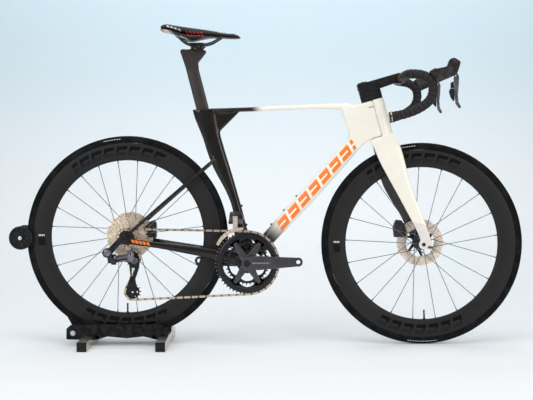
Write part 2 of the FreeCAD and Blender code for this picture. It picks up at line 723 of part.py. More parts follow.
def crank_arm(side):
    """side is -1 for the drive side, whose arm points forwards, and 1 for the left side."""
    end = crank_end(side)
    along = (end - BOTTOM_BRACKET).normalize()
    across = V(-along.z, 0, along.x)
    root = BOTTOM_BRACKET
    edge = [root + across * 23 - along * 4, root + across * 23 + along * 40, end + across * 14.2,
            end - across * 14.2, root - across * 23 + along * 40, root - across * 23 - along * 4]
    arm = plate([(p.x, p.z) for p in edge], CRANK_INNER_Y, CRANK_OUTER_Y)
    eye = disc(end, 15, CRANK_INNER_Y, CRANK_OUTER_Y)
    boss = disc(BOTTOM_BRACKET, 19, 49.5, CRANK_OUTER_Y)
    hole = disc(end, PEDAL_THREAD_R, 0, 90)
    body = fused([arm, eye, boss]).cut(hole)
    return body if side > 0 else mirrored(body)


def right_crank():
    """The forged arm, the spider pressed on its boss, and the axle that carries them."""
    arm_piece = crank_arm(-1)
    axle = disc(BOTTOM_BRACKET, CRANK_AXLE_R, -49.5, 62)
    shapes = []
    for degrees in SPIDER_ARMS:
        angle = math.radians(degrees)
        outward = V(math.cos(angle), 0, math.sin(angle))
        across = V(-outward.z, 0, outward.x)
        root = BOTTOM_BRACKET + outward * 8
        end = BOTTOM_BRACKET + outward * 78
        arm = [root + across * 15, end + across * 6, end - across * 6, root - across * 15]
        shapes.append(plate([(p.x, p.z) for p in arm], -56, BIG_RING_Y - 1))
    spider = fused(shapes).cut(arm_piece).cut(axle)
    return Part.makeCompound([arm_piece, biggest(spider), axle])


def left_crank():
    return crank_arm(1).cut(disc(BOTTOM_BRACKET, CRANK_AXLE_R, 0, 62))


def tangent(centre_a, radius_a, turn_a, centre_b, radius_b, turn_b):
    """Ends of the chain's straight run from one wheel to the next; turn is 1 when its top moves forwards."""
    between = centre_b - centre_a
    slope = math.atan2(between.z, between.x)
    length = math.hypot(between.x, between.z)
    angle = slope - math.asin((radius_a * turn_a - radius_b * turn_b) / length)
    normal = V(-math.sin(angle), 0, math.cos(angle))
    return centre_a + normal * (radius_a * turn_a), centre_b + normal * (radius_b * turn_b)


def chain_strip(start, end):
    """One straight run, its section upright to the run."""
    along = (end - start)
    up = V(-along.z, 0, along.x).normalize() * CHAIN_HALF_HEIGHT
    side = V(0, CHAIN_HALF_WIDTH, 0)
    wires = []
    for point in (start, end):
        ring = [point + up + side, point + up - side, point - up - side, point - up + side]
        wires.append(Part.makePolygon(ring + ring[:1]))
    return loft(wires, True)


def angle_about(centre, point):
    return math.atan2(point.z - centre.z, point.x - centre.x)


def chain_arc(centre, radius, start, end, turn):
    """The stretch wrapped round a wheel, from one tangent point to the next."""
    first = angle_about(centre, start)
    last = angle_about(centre, end)
    if turn > 0:
        first, last = last, first
    while last <= first:
        last += 2 * math.pi
    return sector(centre, radius - CHAIN_HALF_HEIGHT, radius + CHAIN_HALF_HEIGHT, first, last,
                  centre.y - CHAIN_HALF_WIDTH, centre.y + CHAIN_HALF_WIDTH)


def chain_parts():
    cog = V(REAR_HUB.x, CHAIN_COG_Y, REAR_HUB.z)
    ring = V(BOTTOM_BRACKET.x, BIG_RING_Y, BOTTOM_BRACKET.z)
    top_a, top_b = tangent(cog, COG_R, 1, ring, RING_R, 1)
    low_a, low_b = tangent(ring, RING_R, 1, TENSION_PULLEY, PULLEY_R, 1)
    mid_a, mid_b = tangent(TENSION_PULLEY, PULLEY_R, 1, GUIDE_PULLEY, PULLEY_R, -1)
    end_a, end_b = tangent(GUIDE_PULLEY, PULLEY_R, -1, cog, COG_R, 1)
    upper = [chain_strip(end_a, end_b), chain_arc(cog, COG_R, end_b, top_a, 1), chain_strip(top_a, top_b),
             chain_arc(ring, RING_R, top_b, low_a, 1)]
    wrap = [chain_arc(TENSION_PULLEY, PULLEY_R, low_b, mid_a, 1), chain_strip(mid_a, mid_b),
            chain_arc(GUIDE_PULLEY, PULLEY_R, mid_b, end_a, -1)]
    return {"chain_upper": fused(upper), "chain_lower": chain_strip(low_a, low_b),
            "chain_pulley_wrap": fused(wrap)}


def front_derailleur_body(seat):
    body = plate([(-128, 406), (-122, 447), (-86, 450), (-76, 424), (-82, 405)], -34.5, -10, 4)
    guide = disc(V(-104, 0, 428), 4 + RUNNING_GAP, -40, -16)
    return biggest(body.cut(guide).cut(seat))


def about_bracket(radius, degrees):
    angle = math.radians(degrees)
    return (BOTTOM_BRACKET.x + radius * math.cos(angle), BOTTOM_BRACKET.z + radius * math.sin(angle))


def front_derailleur_cage():
    side_view = []
    for degrees in range(97, 150, 4):
        side_view.append(about_bracket(112, degrees))
    for degrees in range(149, 96, -4):
        side_view.append(about_bracket(118 + 7 * math.sin(math.radians(3 * (degrees - 95))), degrees))
    outer = plate(side_view, -55, -53.6)
    inner = plate(side_view, -43.6, -42.2)
    lug = plate([(-112, 388), (-112, 433), (-96, 433), (-96, 388)], -43.6, -42.2, 2)
    tail = plate([about_bracket(r, degrees) for r, degrees in ((112.5, 149), (117.5, 149), (117.5, 146),
                                                               (112.5, 146))], -55, -42.2)
    bridge = Part.makeBox(12, 12.8, 2.5, V(-112, -55, 391.5))
    slider = disc(V(-104, 0, 428), 4, -43, -27)
    return fused([outer, inner, lug, tail, bridge, slider])


# ---- rear derailleur ----

def link_box(origin, x_low, x_high, inward_low, inward_high, half_height):
    """A block in the linkage's own directions: X, its travel, and its pivots' axis."""
    base = origin + V(x_low, 0, 0) + TRAVEL * inward_low - LINK_AXIS * half_height
    corner = [base, base + V(x_high - x_low, 0, 0), base + V(x_high - x_low, 0,
                                                             0) + TRAVEL * (inward_high - inward_low),
              base + TRAVEL * (inward_high - inward_low)]
    face = Part.Face(Part.makePolygon(corner + corner[:1]))
    return face.extrude(LINK_AXIS * (2 * half_height))


def link_pivot(origin, number):
    return origin + TRAVEL * (LINK_PIVOT_SPACING * number)


def link(number):
    start = link_pivot(LINK_ORIGIN, number)
    end = link_pivot(LINK_FAR, number)
    low = LINK_AXIS * (-LINK_HALF_HEIGHT)
    high = LINK_AXIS * LINK_HALF_HEIGHT
    across = LINK_AXIS.cross(end - start).normalize() * 3
    ring = [start + low + across, end + low + across, end + low - across, start + low - across]
    bar = Part.Face(Part.makePolygon(ring + ring[:1])).extrude(high - low)
    shapes = [bar, rod(start + low, start + high, LINK_END_R), rod(end + low, end + high, LINK_END_R)]
    body = fused(shapes)
    for point in (start, end):
        body = body.cut(rod(point + low * 2, point + high * 2, 2 + RUNNING_GAP))
    return body


def yoke(origin, x_low, x_high, slot_low, slot_high):
    block = link_box(origin, x_low, x_high, -7.5, LINK_PIVOT_SPACING + 7.5, LINK_HALF_HEIGHT + 3)
    slot = link_box(origin, slot_low, slot_high, -20, LINK_PIVOT_SPACING + 20, LINK_HALF_HEIGHT + 0.3)
    body = block.cut(slot)
    ends = LINK_AXIS * (LINK_HALF_HEIGHT + 2)
    pins = [rod(link_pivot(origin, n) - ends, link_pivot(origin, n) + ends, 2) for n in (0, 1)]
    return fused([body] + pins)


def derailleur_b_knuckle():
    jaw = yoke(LINK_ORIGIN, -11, 6, -6.5, 30)
    barrel = disc(V(-523.3, 0, 315.3), 16, -98, -80)
    neck = link_box(LINK_ORIGIN, -22, -7, -5, LINK_PIVOT_SPACING + 5, 7)
    hanger = plate([(-469, 380), (-452, 366), (-456, 348), (-480, 344), (-512, 306), (-532, 318),
                    (-486, 366)],
                   -84, -79.3, 5)
    return fused([jaw, barrel, neck, hanger]).cut(disc(REAR_HUB, AXLE_R, -90, -70))


def derailleur_p_knuckle():
    jaw = yoke(LINK_FAR, -6, 11, -30, 6.5)
    barrel = disc(CAGE_PIVOT, 11, -83, -59.4)
    neck = link_box(LINK_FAR, 6.6, 14, -4, LINK_PIVOT_SPACING + 4, 8)
    pin = disc(CAGE_PIVOT, 4, -60, -57.6)
    return fused([jaw, barrel, neck, pin])


def derailleur_cage():
    side_view = [(-430, 305), (-422, 288), (-424, 262), (-437, 224), (-432, 190), (-433, 170), (-450, 161),
                 (-466, 172), (-464, 200), (-452, 235), (-456, 270), (-462, 296), (-448, 311)]
    outer = plate(side_view, -58.9, -57.3, 8).cut(disc(CAGE_PIVOT, 4 + RUNNING_GAP, -70, -50))
    inner = plate(side_view, -45.5, -43.9, 8)
    bolts = [disc(pulley, 2.5, -58.9, -43.9) for pulley in (GUIDE_PULLEY, TENSION_PULLEY)]
    return fused([outer, inner] + bolts)


def pulley(centre):
    tip = PULLEY_R - CHAIN_HALF_HEIGHT - CHAIN_TOOTH_GAP
    wheel = toothed(centre, PULLEY_TEETH, tip, 2.5, centre.y - 1.2, centre.y + 1.2)
    hub = disc(centre, 9, centre.y - 5, centre.y + 5)
    return fused([wheel, hub]).cut(disc(centre, 2.5 + RUNNING_GAP, -90, 0))


# ---- stand ----

def stand_plates():
    view = [(-667, 22), (-667, 60), (-652, 71), (-592, 71), (-350, 71), (-327, 60), (-327, 24), (-345, 20),
            (-365, 21),
            (-409, 33), (-465, 27), (-529, 33), (-569, 20)]
    plates = []
    for low in (PLATE_Y, -PLATE_Y - PLATE_THICKNESS):
        body = plate(view, low, low + PLATE_THICKNESS, 5)
        for x in FOOT_XS:
            body = body.cut(foot_box(x))
        body = body.cut(disc(ARM_PIVOT, PIVOT_BOLT_R, -90, 90))
        for centre in support_centres():
            body = body.cut(disc(centre, SUPPORT_ROD_R, -90, 90))
        plates.append(body)
    return Part.makeCompound(plates)


def foot_box(x):
    return Part.makeBox(2 * FOOT_HALF, 2 * FOOT_HALF_LENGTH, 2 * FOOT_HALF,
                        V(x - FOOT_HALF, -FOOT_HALF_LENGTH, 0))


def stand_feet():
    wall = 2.0
    feet = []
    for x in FOOT_XS:
        inside = Part.makeBox(2 * (FOOT_HALF - wall), 2 * FOOT_HALF_LENGTH, 2 * (FOOT_HALF - wall),
                              V(x - FOOT_HALF + wall, -FOOT_HALF_LENGTH, wall))
        feet.append(foot_box(x).cut(inside))
    return Part.makeCompound(feet)


def stand_foot_caps():
    caps = []
    wall = 2.0
    for x in FOOT_XS:
        for side in (-1, 1):
            head = Part.makeBox(2 * FOOT_HALF, 4, 2 * FOOT_HALF, V(x - FOOT_HALF, FOOT_HALF_LENGTH, 0))
            plug = Part.makeBox(2 * (FOOT_HALF - wall), 12, 2 * (FOOT_HALF - wall),
                                V(x - FOOT_HALF + wall, FOOT_HALF_LENGTH - 12, wall))
            cap = head.fuse(plug).removeSplitter()
            caps.append(cap if side > 0 else mirrored(cap))
    return Part.makeCompound(caps)


def support_centres():
    """The tyre rests between two rods, one on each side of its lowest point."""
    reach = TYRE_R + SUPPORT_ROD_R + 0.3
    offset = 95.0
    height = REAR_HUB.z - math.sqrt(reach ** 2 - offset ** 2)
    return [V(REAR_HUB.x - offset, 0, height), V(REAR_HUB.x + offset, 0, height)]


def stand_rods():
    outer = PLATE_Y + PLATE_THICKNESS
    rods = [disc(centre, SUPPORT_ROD_R, -outer, outer) for centre in support_centres()]
    bolt = disc(ARM_PIVOT, PIVOT_BOLT_R, -outer, outer)
    heads = [disc(ARM_PIVOT, 8.5, outer, outer + 4), disc(ARM_PIVOT, 8.5, -outer - 4, -outer)]
    return Part.makeCompound(rods + [fused([bolt] + heads)])


def stand_arm():
    along = (ROLLER_CENTRE - ARM_PIVOT).normalize()
    across = V(-along.z, 0, along.x) * ARM_HALF_WIDTH
    edge = [ARM_PIVOT + across, ROLLER_CENTRE + across, ROLLER_CENTRE - across, ARM_PIVOT - across]
    top = ARM_Y + ARM_THICKNESS
    bar = plate([(p.x, p.z) for p in edge], ARM_Y, top)
    ends = [disc(point, ARM_HALF_WIDTH, ARM_Y, top) for point in (ARM_PIVOT, ROLLER_CENTRE)]
    stud = disc(ROLLER_CENTRE, 5, -ROLLER_HALF_WIDTH - 6, ARM_Y)
    head = disc(ROLLER_CENTRE, 9, -ROLLER_HALF_WIDTH - 8, -ROLLER_HALF_WIDTH - 4)
    return fused([bar] + ends + [stud, head]).cut(disc(ARM_PIVOT, PIVOT_BOLT_R + RUNNING_GAP, 0, 90))


def stand_roller():
    """Two cones meet at their small ends, so that the tyre runs in the groove between them."""
    bore = 5 + RUNNING_GAP
    edge = ROLLER_HALF_WIDTH + 3
    return turned(ROLLER_CENTRE, [(bore, -edge), (20, -edge), (STAND_ROLLER_R, -edge + 2),
                                  (STAND_ROLLER_R, -ROLLER_HALF_WIDTH + 1), (8, -1), (8, 1),
                                  (STAND_ROLLER_R, ROLLER_HALF_WIDTH - 1), (STAND_ROLLER_R, edge - 2),
                                  (20, edge), (bore, edge)])


def main():
    os.makedirs("parts", exist_ok=True)
    nodes = {"stand_plates": stand_plates(), "stand_feet": stand_feet(),
             "stand_foot_caps": stand_foot_caps(),
             "stand_rods": stand_rods(), "stand_arm": stand_arm(), "stand_roller": stand_roller()}
    nodes.update(frame_parts())
    nodes["rear_brake_caliper"] = rear_caliper(nodes["chainstays"].fuse(nodes["seatstays"]))
    nodes["rear_axle"] = thru_axle(REAR_HUB, -79, 79, 9)
    nodes["front_derailleur_body"] = front_derailleur_body(nodes["seat_tube"])
    nodes["front_derailleur_cage"] = front_derailleur_cage()
    nodes["derailleur_b_knuckle"] = derailleur_b_knuckle()
    nodes["derailleur_outer_link"] = link(0)
    nodes["derailleur_inner_link"] = link(1)
    nodes["derailleur_p_knuckle"] = derailleur_p_knuckle()
    nodes["derailleur_cage"] = derailleur_cage()
    nodes["guide_pulley"] = pulley(GUIDE_PULLEY)
    nodes["tension_pulley"] = pulley(TENSION_PULLEY)
    nodes.update(chain_parts())
    nodes["cassette"] = cassette()
    nodes["chainrings"] = chainrings()
    nodes["right_crank"] = right_crank()
    nodes["left_crank"] = left_crank()
    nodes["seatpost"] = seatpost()
    rails = saddle_rails()
    nodes["saddle_rails"] = rails
    nodes["saddle_clamp"] = saddle_clamp(rails)
    nodes["saddle_shell"] = saddle_loft(2, 3, 0.0).cut(rails)
    nodes["saddle_pad"] = saddle_loft(3, 4, 0.2)
    fork_shape = fork()
    nodes["fork"] = fork_shape
    nodes["front_axle"] = thru_axle(FRONT_HUB, -60, 60, 9)
    nodes["front_brake_caliper"] = front_caliper(fork_shape)
    nodes["headset_spacers"] = spacers()
    bar = handlebar()
    nodes["handlebar"] = bar
    nodes["stem"] = stem(bar)
    hoods = Part.makeCompound([biggest(hood(side).cut(bar)) for side in (-1, 1)])
    nodes["lever_hoods"] = hoods
    nodes["bar_tape"] = bar_tape(bar, hoods)
    for side, word in ((-1, "right"), (1, "left")):
        nodes[word + "_brake_lever"] = brake_lever(side)
        nodes[word + "_upper_shift_button"] = shift_button(side, True)
        nodes[word + "_lower_shift_button"] = shift_button(side, False)
    nodes["front_tyre"] = tyre(FRONT_HUB)
    nodes["front_rim"] = rim(FRONT_HUB, math.radians(88))
    nodes["front_spokes"] = laced(FRONT_HUB, 21, math.radians(79.5), (19.2, -30), (21.2, 21))
    nodes["front_hub"] = front_hub()
    nodes["front_rotor"] = rotor(FRONT_HUB, FRONT_ROTOR_Y)
    nodes["rear_tyre"] = tyre(REAR_HUB)
    nodes["rear_rim"] = rim(REAR_HUB, math.radians(90))
    nodes["rear_spokes"] = laced(REAR_HUB, 24, math.radians(82.5), (19.2, 35), (26.2, -16))
    nodes["rear_hub"] = rear_hub()
    nodes["rear_rotor"] = rotor(REAR_HUB, REAR_ROTOR_Y)
    for name, shape in nodes.items():
        save(name, shape)
    print(len(nodes), "nodes")


main()
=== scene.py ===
import json
import math

import bmesh
import bpy
import numpy as np
from mathutils import Matrix, Vector


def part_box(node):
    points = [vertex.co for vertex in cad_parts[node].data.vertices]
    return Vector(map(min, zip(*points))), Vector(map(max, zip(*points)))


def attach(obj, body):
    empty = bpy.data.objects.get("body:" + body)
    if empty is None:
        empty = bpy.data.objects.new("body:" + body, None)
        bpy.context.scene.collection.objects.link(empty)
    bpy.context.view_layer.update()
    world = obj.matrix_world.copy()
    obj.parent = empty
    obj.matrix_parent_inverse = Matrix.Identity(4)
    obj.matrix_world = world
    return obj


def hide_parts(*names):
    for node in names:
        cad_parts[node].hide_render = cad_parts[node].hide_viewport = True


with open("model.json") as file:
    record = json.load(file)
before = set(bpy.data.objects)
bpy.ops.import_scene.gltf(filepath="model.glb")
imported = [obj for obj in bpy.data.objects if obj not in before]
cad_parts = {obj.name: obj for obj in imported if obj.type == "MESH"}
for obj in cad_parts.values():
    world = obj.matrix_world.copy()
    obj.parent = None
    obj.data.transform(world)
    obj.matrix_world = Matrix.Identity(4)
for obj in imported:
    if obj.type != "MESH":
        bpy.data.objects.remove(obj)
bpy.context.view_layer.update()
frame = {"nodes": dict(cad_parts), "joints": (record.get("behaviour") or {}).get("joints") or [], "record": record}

# ---- Stand: side plates ----
# Two side plates cut from 2.5 mm steel sheet, with a lip folded inwards along the top for stiffness.
# They are powder-coated black and stand on the two square tubes that carry them.

MM = 0.001
pivot = {joint["name"]: Vector(joint["pos_m"]) for joint in frame["joints"] if "pos_m" in joint}


def at_joint(name):
    """A joint's place on the bicycle's middle plane."""
    return Vector((pivot[name].x, 0, pivot[name].z))


def spoke_end(centre, turn, reach):
    """The point at an angle and distance from a centre, in the side view."""
    return centre + Vector((math.cos(turn), 0, math.sin(turn))) * reach


class Finish:
    """A painted, plated or moulded surface that varies over the piece as the real one does."""

    def __init__(self, name, colour, rough, metal=0.0, coat=0.0, coat_rough=0.04, shine=0.5):
        self.material = bpy.data.materials.new(name)
        self.material.use_nodes = True
        self.tree = self.material.node_tree
        self.shader = self.tree.nodes["Principled BSDF"]
        self.tone = (*colour, 1.0)
        self.level = rough
        for socket, value in (("Base Color", self.tone), ("Roughness", rough), ("Metallic", metal),
                              ("Coat Weight", coat), ("Coat Roughness", coat_rough),
                              ("Specular IOR Level", shine)):
            self.shader.inputs[socket].default_value = value
        self.spot = self.add("TexCoord").outputs["Object"]

    def add(self, kind, *inputs, **settings):
        node = self.tree.nodes.new("ShaderNode" + kind)
        for setting, value in settings.items():
            setattr(node, setting, value)
        for number, value in enumerate(inputs):
            if isinstance(value, bpy.types.NodeSocket):
                self.tree.links.new(value, node.inputs[number])
            elif value is not None:
                node.inputs[number].default_value = value
        return node

    def sum(self, operation, *inputs):
        return self.add("Math", *inputs, operation=operation).outputs[0]

    def plus(self, one, other):
        return self.sum("ADD", one, other)

    def minus(self, one, other):
        return self.sum("SUBTRACT", one, other)

    def times(self, one, other):
        return self.sum("MULTIPLY", one, other)

    def most(self, one, other):
        return self.sum("MAXIMUM", one, other)

    def above(self, value, limit):
        return self.sum("GREATER_THAN", value, limit)

    def below(self, value, limit):
        return self.sum("LESS_THAN", value, limit)

    def far(self, value):
        return self.sum("ABSOLUTE", value)

    def part(self, value):
        return self.sum("FRACT", value)

    def ramp(self, value, low, high, start=0.0, end=1.0):
        return self.add("MapRange", value, low, high, start, end, interpolation_type="SMOOTHSTEP").outputs[0]

    def moved(self, shift=(0, 0, 0), stretch=(1, 1, 1)):
        return self.add("Mapping", self.spot, shift, (0, 0, 0), stretch).outputs[0]

    def axes(self, where=None):
        return self.add("SeparateXYZ", where or self.spot).outputs

    def speckle(self, scale, stretch=(1, 1, 1), detail=3.0):
        field = self.add("TexNoise", self.moved(stretch=stretch))
        field.inputs["Scale"].default_value = scale
        field.inputs["Detail"].default_value = detail
        return field.outputs["Fac"]

    def over(self, mask, under, top):
        blend = self.add("Mix", data_type="RGBA")
        for number, value in ((0, mask), (6, under), (7, top)):
            if isinstance(value, bpy.types.NodeSocket):
                self.tree.links.new(value, blend.inputs[number])
            else:
                blend.inputs[number].default_value = value
        return blend.outputs[2]

    def blend(self, scale, under, top):
        """Two tones mixed by a speckle."""
        return self.over(self.ramp(self.speckle(scale), 0.3, 0.7), under, top)

    def sheen(self, scale, low, high):
        """Roughness that varies between two levels."""
        return self.set("Roughness", self.ramp(self.speckle(scale), 0.3, 0.7, low, high))

    def set(self, socket, value):
        self.tree.links.new(value, self.shader.inputs[socket])
        return self

    def mottled(self, second, scale, spread=0.06, stretch=(1, 1, 1)):
        """Two close tones and an uneven sheen."""
        field = self.speckle(scale, stretch)
        self.set("Base Color", self.over(self.ramp(field, 0.35, 0.65), self.tone, (*second, 1.0)))
        return self.set("Roughness", self.ramp(field, 0.25, 0.75, self.level - spread, self.level + spread))

    def raised(self, height, depth, strength=0.4):
        """Fine relief from a height field."""
        return self.set("Normal", self.add("Bump", strength, depth, None, height).outputs["Normal"])

    def grained(self, scale, depth, strength=0.4, stretch=(1, 1, 1)):
        return self.raised(self.speckle(scale, stretch, 2.0), depth, strength)


def eased(corners, radius, steps=5):
    """An outline with its corners rounded, as the cutter leaves them."""
    line = []
    for number, here in enumerate(corners):
        here = Vector(here)
        back = Vector(corners[number - 1]) - here
        ahead = Vector(corners[(number + 1) % len(corners)]) - here
        half_turn = back.angle(ahead) / 2
        reach = min(radius / max(math.tan(half_turn), 1e-6), 0.45 * back.length, 0.45 * ahead.length)
        if half_turn > 1.52 or radius == 0:
            line.append(here)
            continue
        start = here + back.normalized() * reach
        end = here + ahead.normalized() * reach
        for step in range(steps + 1):
            t = step / steps
            line.append(start * (1 - t) ** 2 + here * (2 * t * (1 - t)) + end * t ** 2)
    return line


def cut_plate(outlines, low, high, edge=0.4 * MM):
    """Plate between two distances across the bicycle: the first outline is its edge, the rest are holes."""
    sketch = bpy.data.curves.new("sketch", "CURVE")
    sketch.dimensions = "2D"
    sketch.fill_mode = "BOTH"
    sketch.extrude = (high - low) / 2 - edge
    sketch.bevel_depth = edge
    sketch.offset = -edge
    sketch.bevel_resolution = 1
    for number, outline in enumerate(outlines):
        area = sum(a[0] * b[1] - b[0] * a[1] for a, b in zip(outline, list(outline[1:]) + [outline[0]]))
        points = list(outline) if (area > 0) == (number == 0) else list(reversed(outline))
        line = sketch.splines.new("POLY")
        line.points.add(len(points) - 1)
        for point, place in zip(line.points, points):
            point.co = (place[0], place[1], 0, 1)
        line.use_cyclic_u = True
    holder = bpy.data.objects.new("sketch", sketch)
    bpy.context.scene.collection.objects.link(holder)
    mesh = bpy.data.meshes.new_from_object(holder.evaluated_get(bpy.context.evaluated_depsgraph_get()))
    bpy.data.objects.remove(holder)
    mesh.transform(Matrix(((1, 0, 0, 0), (0, 0, -1, (low + high) / 2), (0, 1, 0, 0), (0, 0, 0, 1))))
    shell = bmesh.new()
    shell.from_mesh(mesh)
    bmesh.ops.remove_doubles(shell, verts=shell.verts, dist=2e-6)
    bmesh.ops.recalc_face_normals(shell, faces=shell.faces)
    return shell


def joined(*shells):
    """Several closed shells as one piece."""
    whole = bmesh.new()
    for shell in shells:
        mesh = bpy.data.meshes.new("part")
        shell.to_mesh(mesh)
        whole.from_mesh(mesh)
        bpy.data.meshes.remove(mesh)
        shell.free()
    return whole


def as_piece(name, shape, finish, crease=32):
    """A named piece with its finish, from a shell or a mesh."""
    if isinstance(shape, bmesh.types.BMesh):
        mesh = bpy.data.meshes.new(name)
        shape.to_mesh(mesh)
        shape.free()
    else:
        mesh = shape
    mesh.name = name
    mesh.materials.clear()
    mesh.materials.append(finish.material)
    mesh.shade_smooth()
    mesh.set_sharp_from_angle(angle=math.radians(crease))
    part = bpy.data.objects.new(name, mesh)
    bpy.context.scene.collection.objects.link(part)
    return part


def fix(part, body, slot, *nodes):
    """Fixes a finished piece to the body it moves with, in place of the plain solids it stands for."""
    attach(part, body)
    if nodes:
        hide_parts(*nodes)
    return part


black_steel = Finish("powder_coated_steel", (0.0065, 0.0058, 0.0060), 0.38, shine=0.09)
black_steel.mottled((0.022, 0.022, 0.024), 60, 0.10).grained(1500, 0.15 * MM, 0.35)

foot_low, foot_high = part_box("stand_feet")
plate_low, plate_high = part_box("stand_plates")
foot_side = 32.0 * MM
plate_shape = [(0, 2), (0, 38), (15, 51), (75, 51), (317, 51), (340, 40), (340, 4), (322, 0), (302, 1),
               (258, 12), (200, 6), (138, 12), (98, 0)]
plate_edge = eased([(plate_low.x + x * MM, plate_low.z + z * MM) for x, z in plate_shape], 6 * MM)
side_plates = []
for side in (-1, 1):
    near = plate_high.y - 2.5 * MM if side > 0 else plate_low.y
    side_plates.append(cut_plate([plate_edge], near, near + 2.5 * MM))
    lip = 9 * MM
    inner = near - lip if side > 0 else near + 2.5 * MM
    lip_edge = [(plate_low.x + 82 * MM, plate_high.z - 2.5 * MM),
                (plate_high.x - 30 * MM, plate_high.z - 2.5 * MM),
                (plate_high.x - 30 * MM, plate_high.z), (plate_low.x + 82 * MM, plate_high.z)]
    side_plates.append(cut_plate([lip_edge], inner, inner + lip))
fix(as_piece("stand_side_plates", joined(*side_plates), black_steel), "stand", "black_steel", "stand_plates")

# ---- Stand: feet and caps ----
# Two square steel tubes, plated dull nickel, run across under the plates as feet.
# A plain moulded black cap is pressed into each end.

plated_steel = Finish("nickel_plated_tube", (0.62, 0.58, 0.52), 0.28, metal=0.95)
plated_steel.mottled((0.50, 0.46, 0.40), 25, 0.08, (1, 0.15, 1)).grained(900, 0.05 * MM, 0.3, (1, 0.04, 1))
moulded_black = Finish("moulded_nylon", (0.010, 0.010, 0.011), 0.5, shine=0.15)
moulded_black.mottled((0.020, 0.020, 0.022), 120, 0.08).grained(2200, 0.12 * MM, 0.4)


def square(x, grow, radius):
    return eased([(x - grow, foot_low.z - grow), (x + foot_side + grow, foot_low.z - grow),
                  (x + foot_side + grow, foot_high.z + grow), (x - grow, foot_high.z + grow)], radius)


feet = []
caps = []
cap_low, cap_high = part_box("stand_foot_caps")
for x in (foot_low.x, foot_high.x - foot_side):
    feet.append(cut_plate([square(x, 0, 3 * MM), square(x, -2 * MM, 1.5 * MM)], foot_low.y, foot_high.y))
    for tip, inside in ((cap_low.y, foot_low.y), (cap_high.y, foot_high.y)):
        caps.append(cut_plate([square(x, 0, 4 * MM)], min(tip, inside), max(tip, inside), 1.2 * MM))
        plug = 12 * MM if inside < 0 else -12 * MM
        caps.append(cut_plate([square(x, -2 * MM, 1.5 * MM)], min(inside, inside + plug),
                              max(inside, inside + plug)))
fix(as_piece("stand_tubes", joined(*feet), plated_steel), "stand", "bare_steel", "stand_feet")
fix(as_piece("stand_end_caps", joined(*caps), moulded_black), "stand", "black_plastic", "stand_foot_caps")

# ---- Stand: rods, bolts and arm ----
# Two plated rods carry the tyre, and a pin with domed ends is the pivot of the sprung arm.
# The arm is powder-coated black; the pin's ends and the roller's bolt are zinc-plated.

zinc = Finish("zinc_plated", (0.72, 0.72, 0.70), 0.25, metal=1.0)
zinc.mottled((0.60, 0.61, 0.60), 300, 0.08).grained(3000, 0.03 * MM, 0.3)


def carried(node, finish):
    """A part used as it was made, with its real finish."""
    part = frame["nodes"][node]
    part.data.materials.clear()
    part.data.materials.append(finish.material)
    return part


def ring_of(centre, radius, count, phase=0.0):
    """Points round a centre in the side view."""
    return [(centre.x + radius * math.cos(phase + 2 * math.pi * step / count),
             centre.z + radius * math.sin(phase + 2 * math.pi * step / count)) for step in range(count)]


def skinned(shell, rings):
    """Closes the sides between rings of points, the last joined to the first."""
    for number, here in enumerate(rings):
        after = rings[(number + 1) % len(rings)]
        for point in range(len(here)):
            following = (point + 1) % len(here)
            shell.faces.new((here[point], here[following], after[following], after[point]))


def turned(profile, centre, steps=96):
    """A piece turned about a crosswise axis, from the (radius, distance across) points of its closed section."""
    shell = bmesh.new()
    rings = []
    for step in range(steps):
        turn = 2 * math.pi * step / steps
        rings.append([shell.verts.new((centre.x + r * math.cos(turn), centre.y + y,
                                       centre.z + r * math.sin(turn)))
                      for r, y in profile])
    skinned(shell, rings)
    bmesh.ops.remove_doubles(shell, verts=shell.verts, dist=1e-6)
    bmesh.ops.dissolve_degenerate(shell, dist=1e-7, edges=shell.edges)
    bmesh.ops.recalc_face_normals(shell, faces=shell.faces)
    return shell


def in_mm(points):
    return [(a * MM, b * MM) for a, b in points]


carried("stand_rods", plated_steel)
carried("stand_arm", black_steel)
rod_low, rod_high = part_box("stand_rods")
arm_pin = at_joint("stand_arm_swing")
heads = []
for side in (-1, 1):
    y = rod_low.y if side < 0 else rod_high.y
    dome = in_mm([(0, 1.6), (3, 1.4), (4.6, 0.8), (5.2, 0), (5.2, -0.5), (0, -0.5)])
    heads.append(turned([(r, side * d) for r, d in dome], Vector((arm_pin.x, y, arm_pin.z)), 24))
fix(as_piece("stand_pin_rivets", joined(*heads), zinc), "stand", "bare_steel")
roller = at_joint("stand_roller_spin")
roller_low, roller_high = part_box("stand_roller")
hub_bolt = in_mm([(0, -5.8), (4.5, -5.4), (6.4, -4.2), (7, -3), (7, 0), (0, 0)])
arm_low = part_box("stand_arm")[0]
fix(as_piece("roller_bolt", turned(hub_bolt, Vector((roller.x, arm_low.y, roller.z)), 36), zinc),
    "stand_arm", "bare_steel")

# ---- Stand: roller ----
# A V-shaped roller in black nylon, moulded as two ribbed discs that meet at their small ends.
# The tyre runs in the groove, and ten ribs stiffen each outer face.


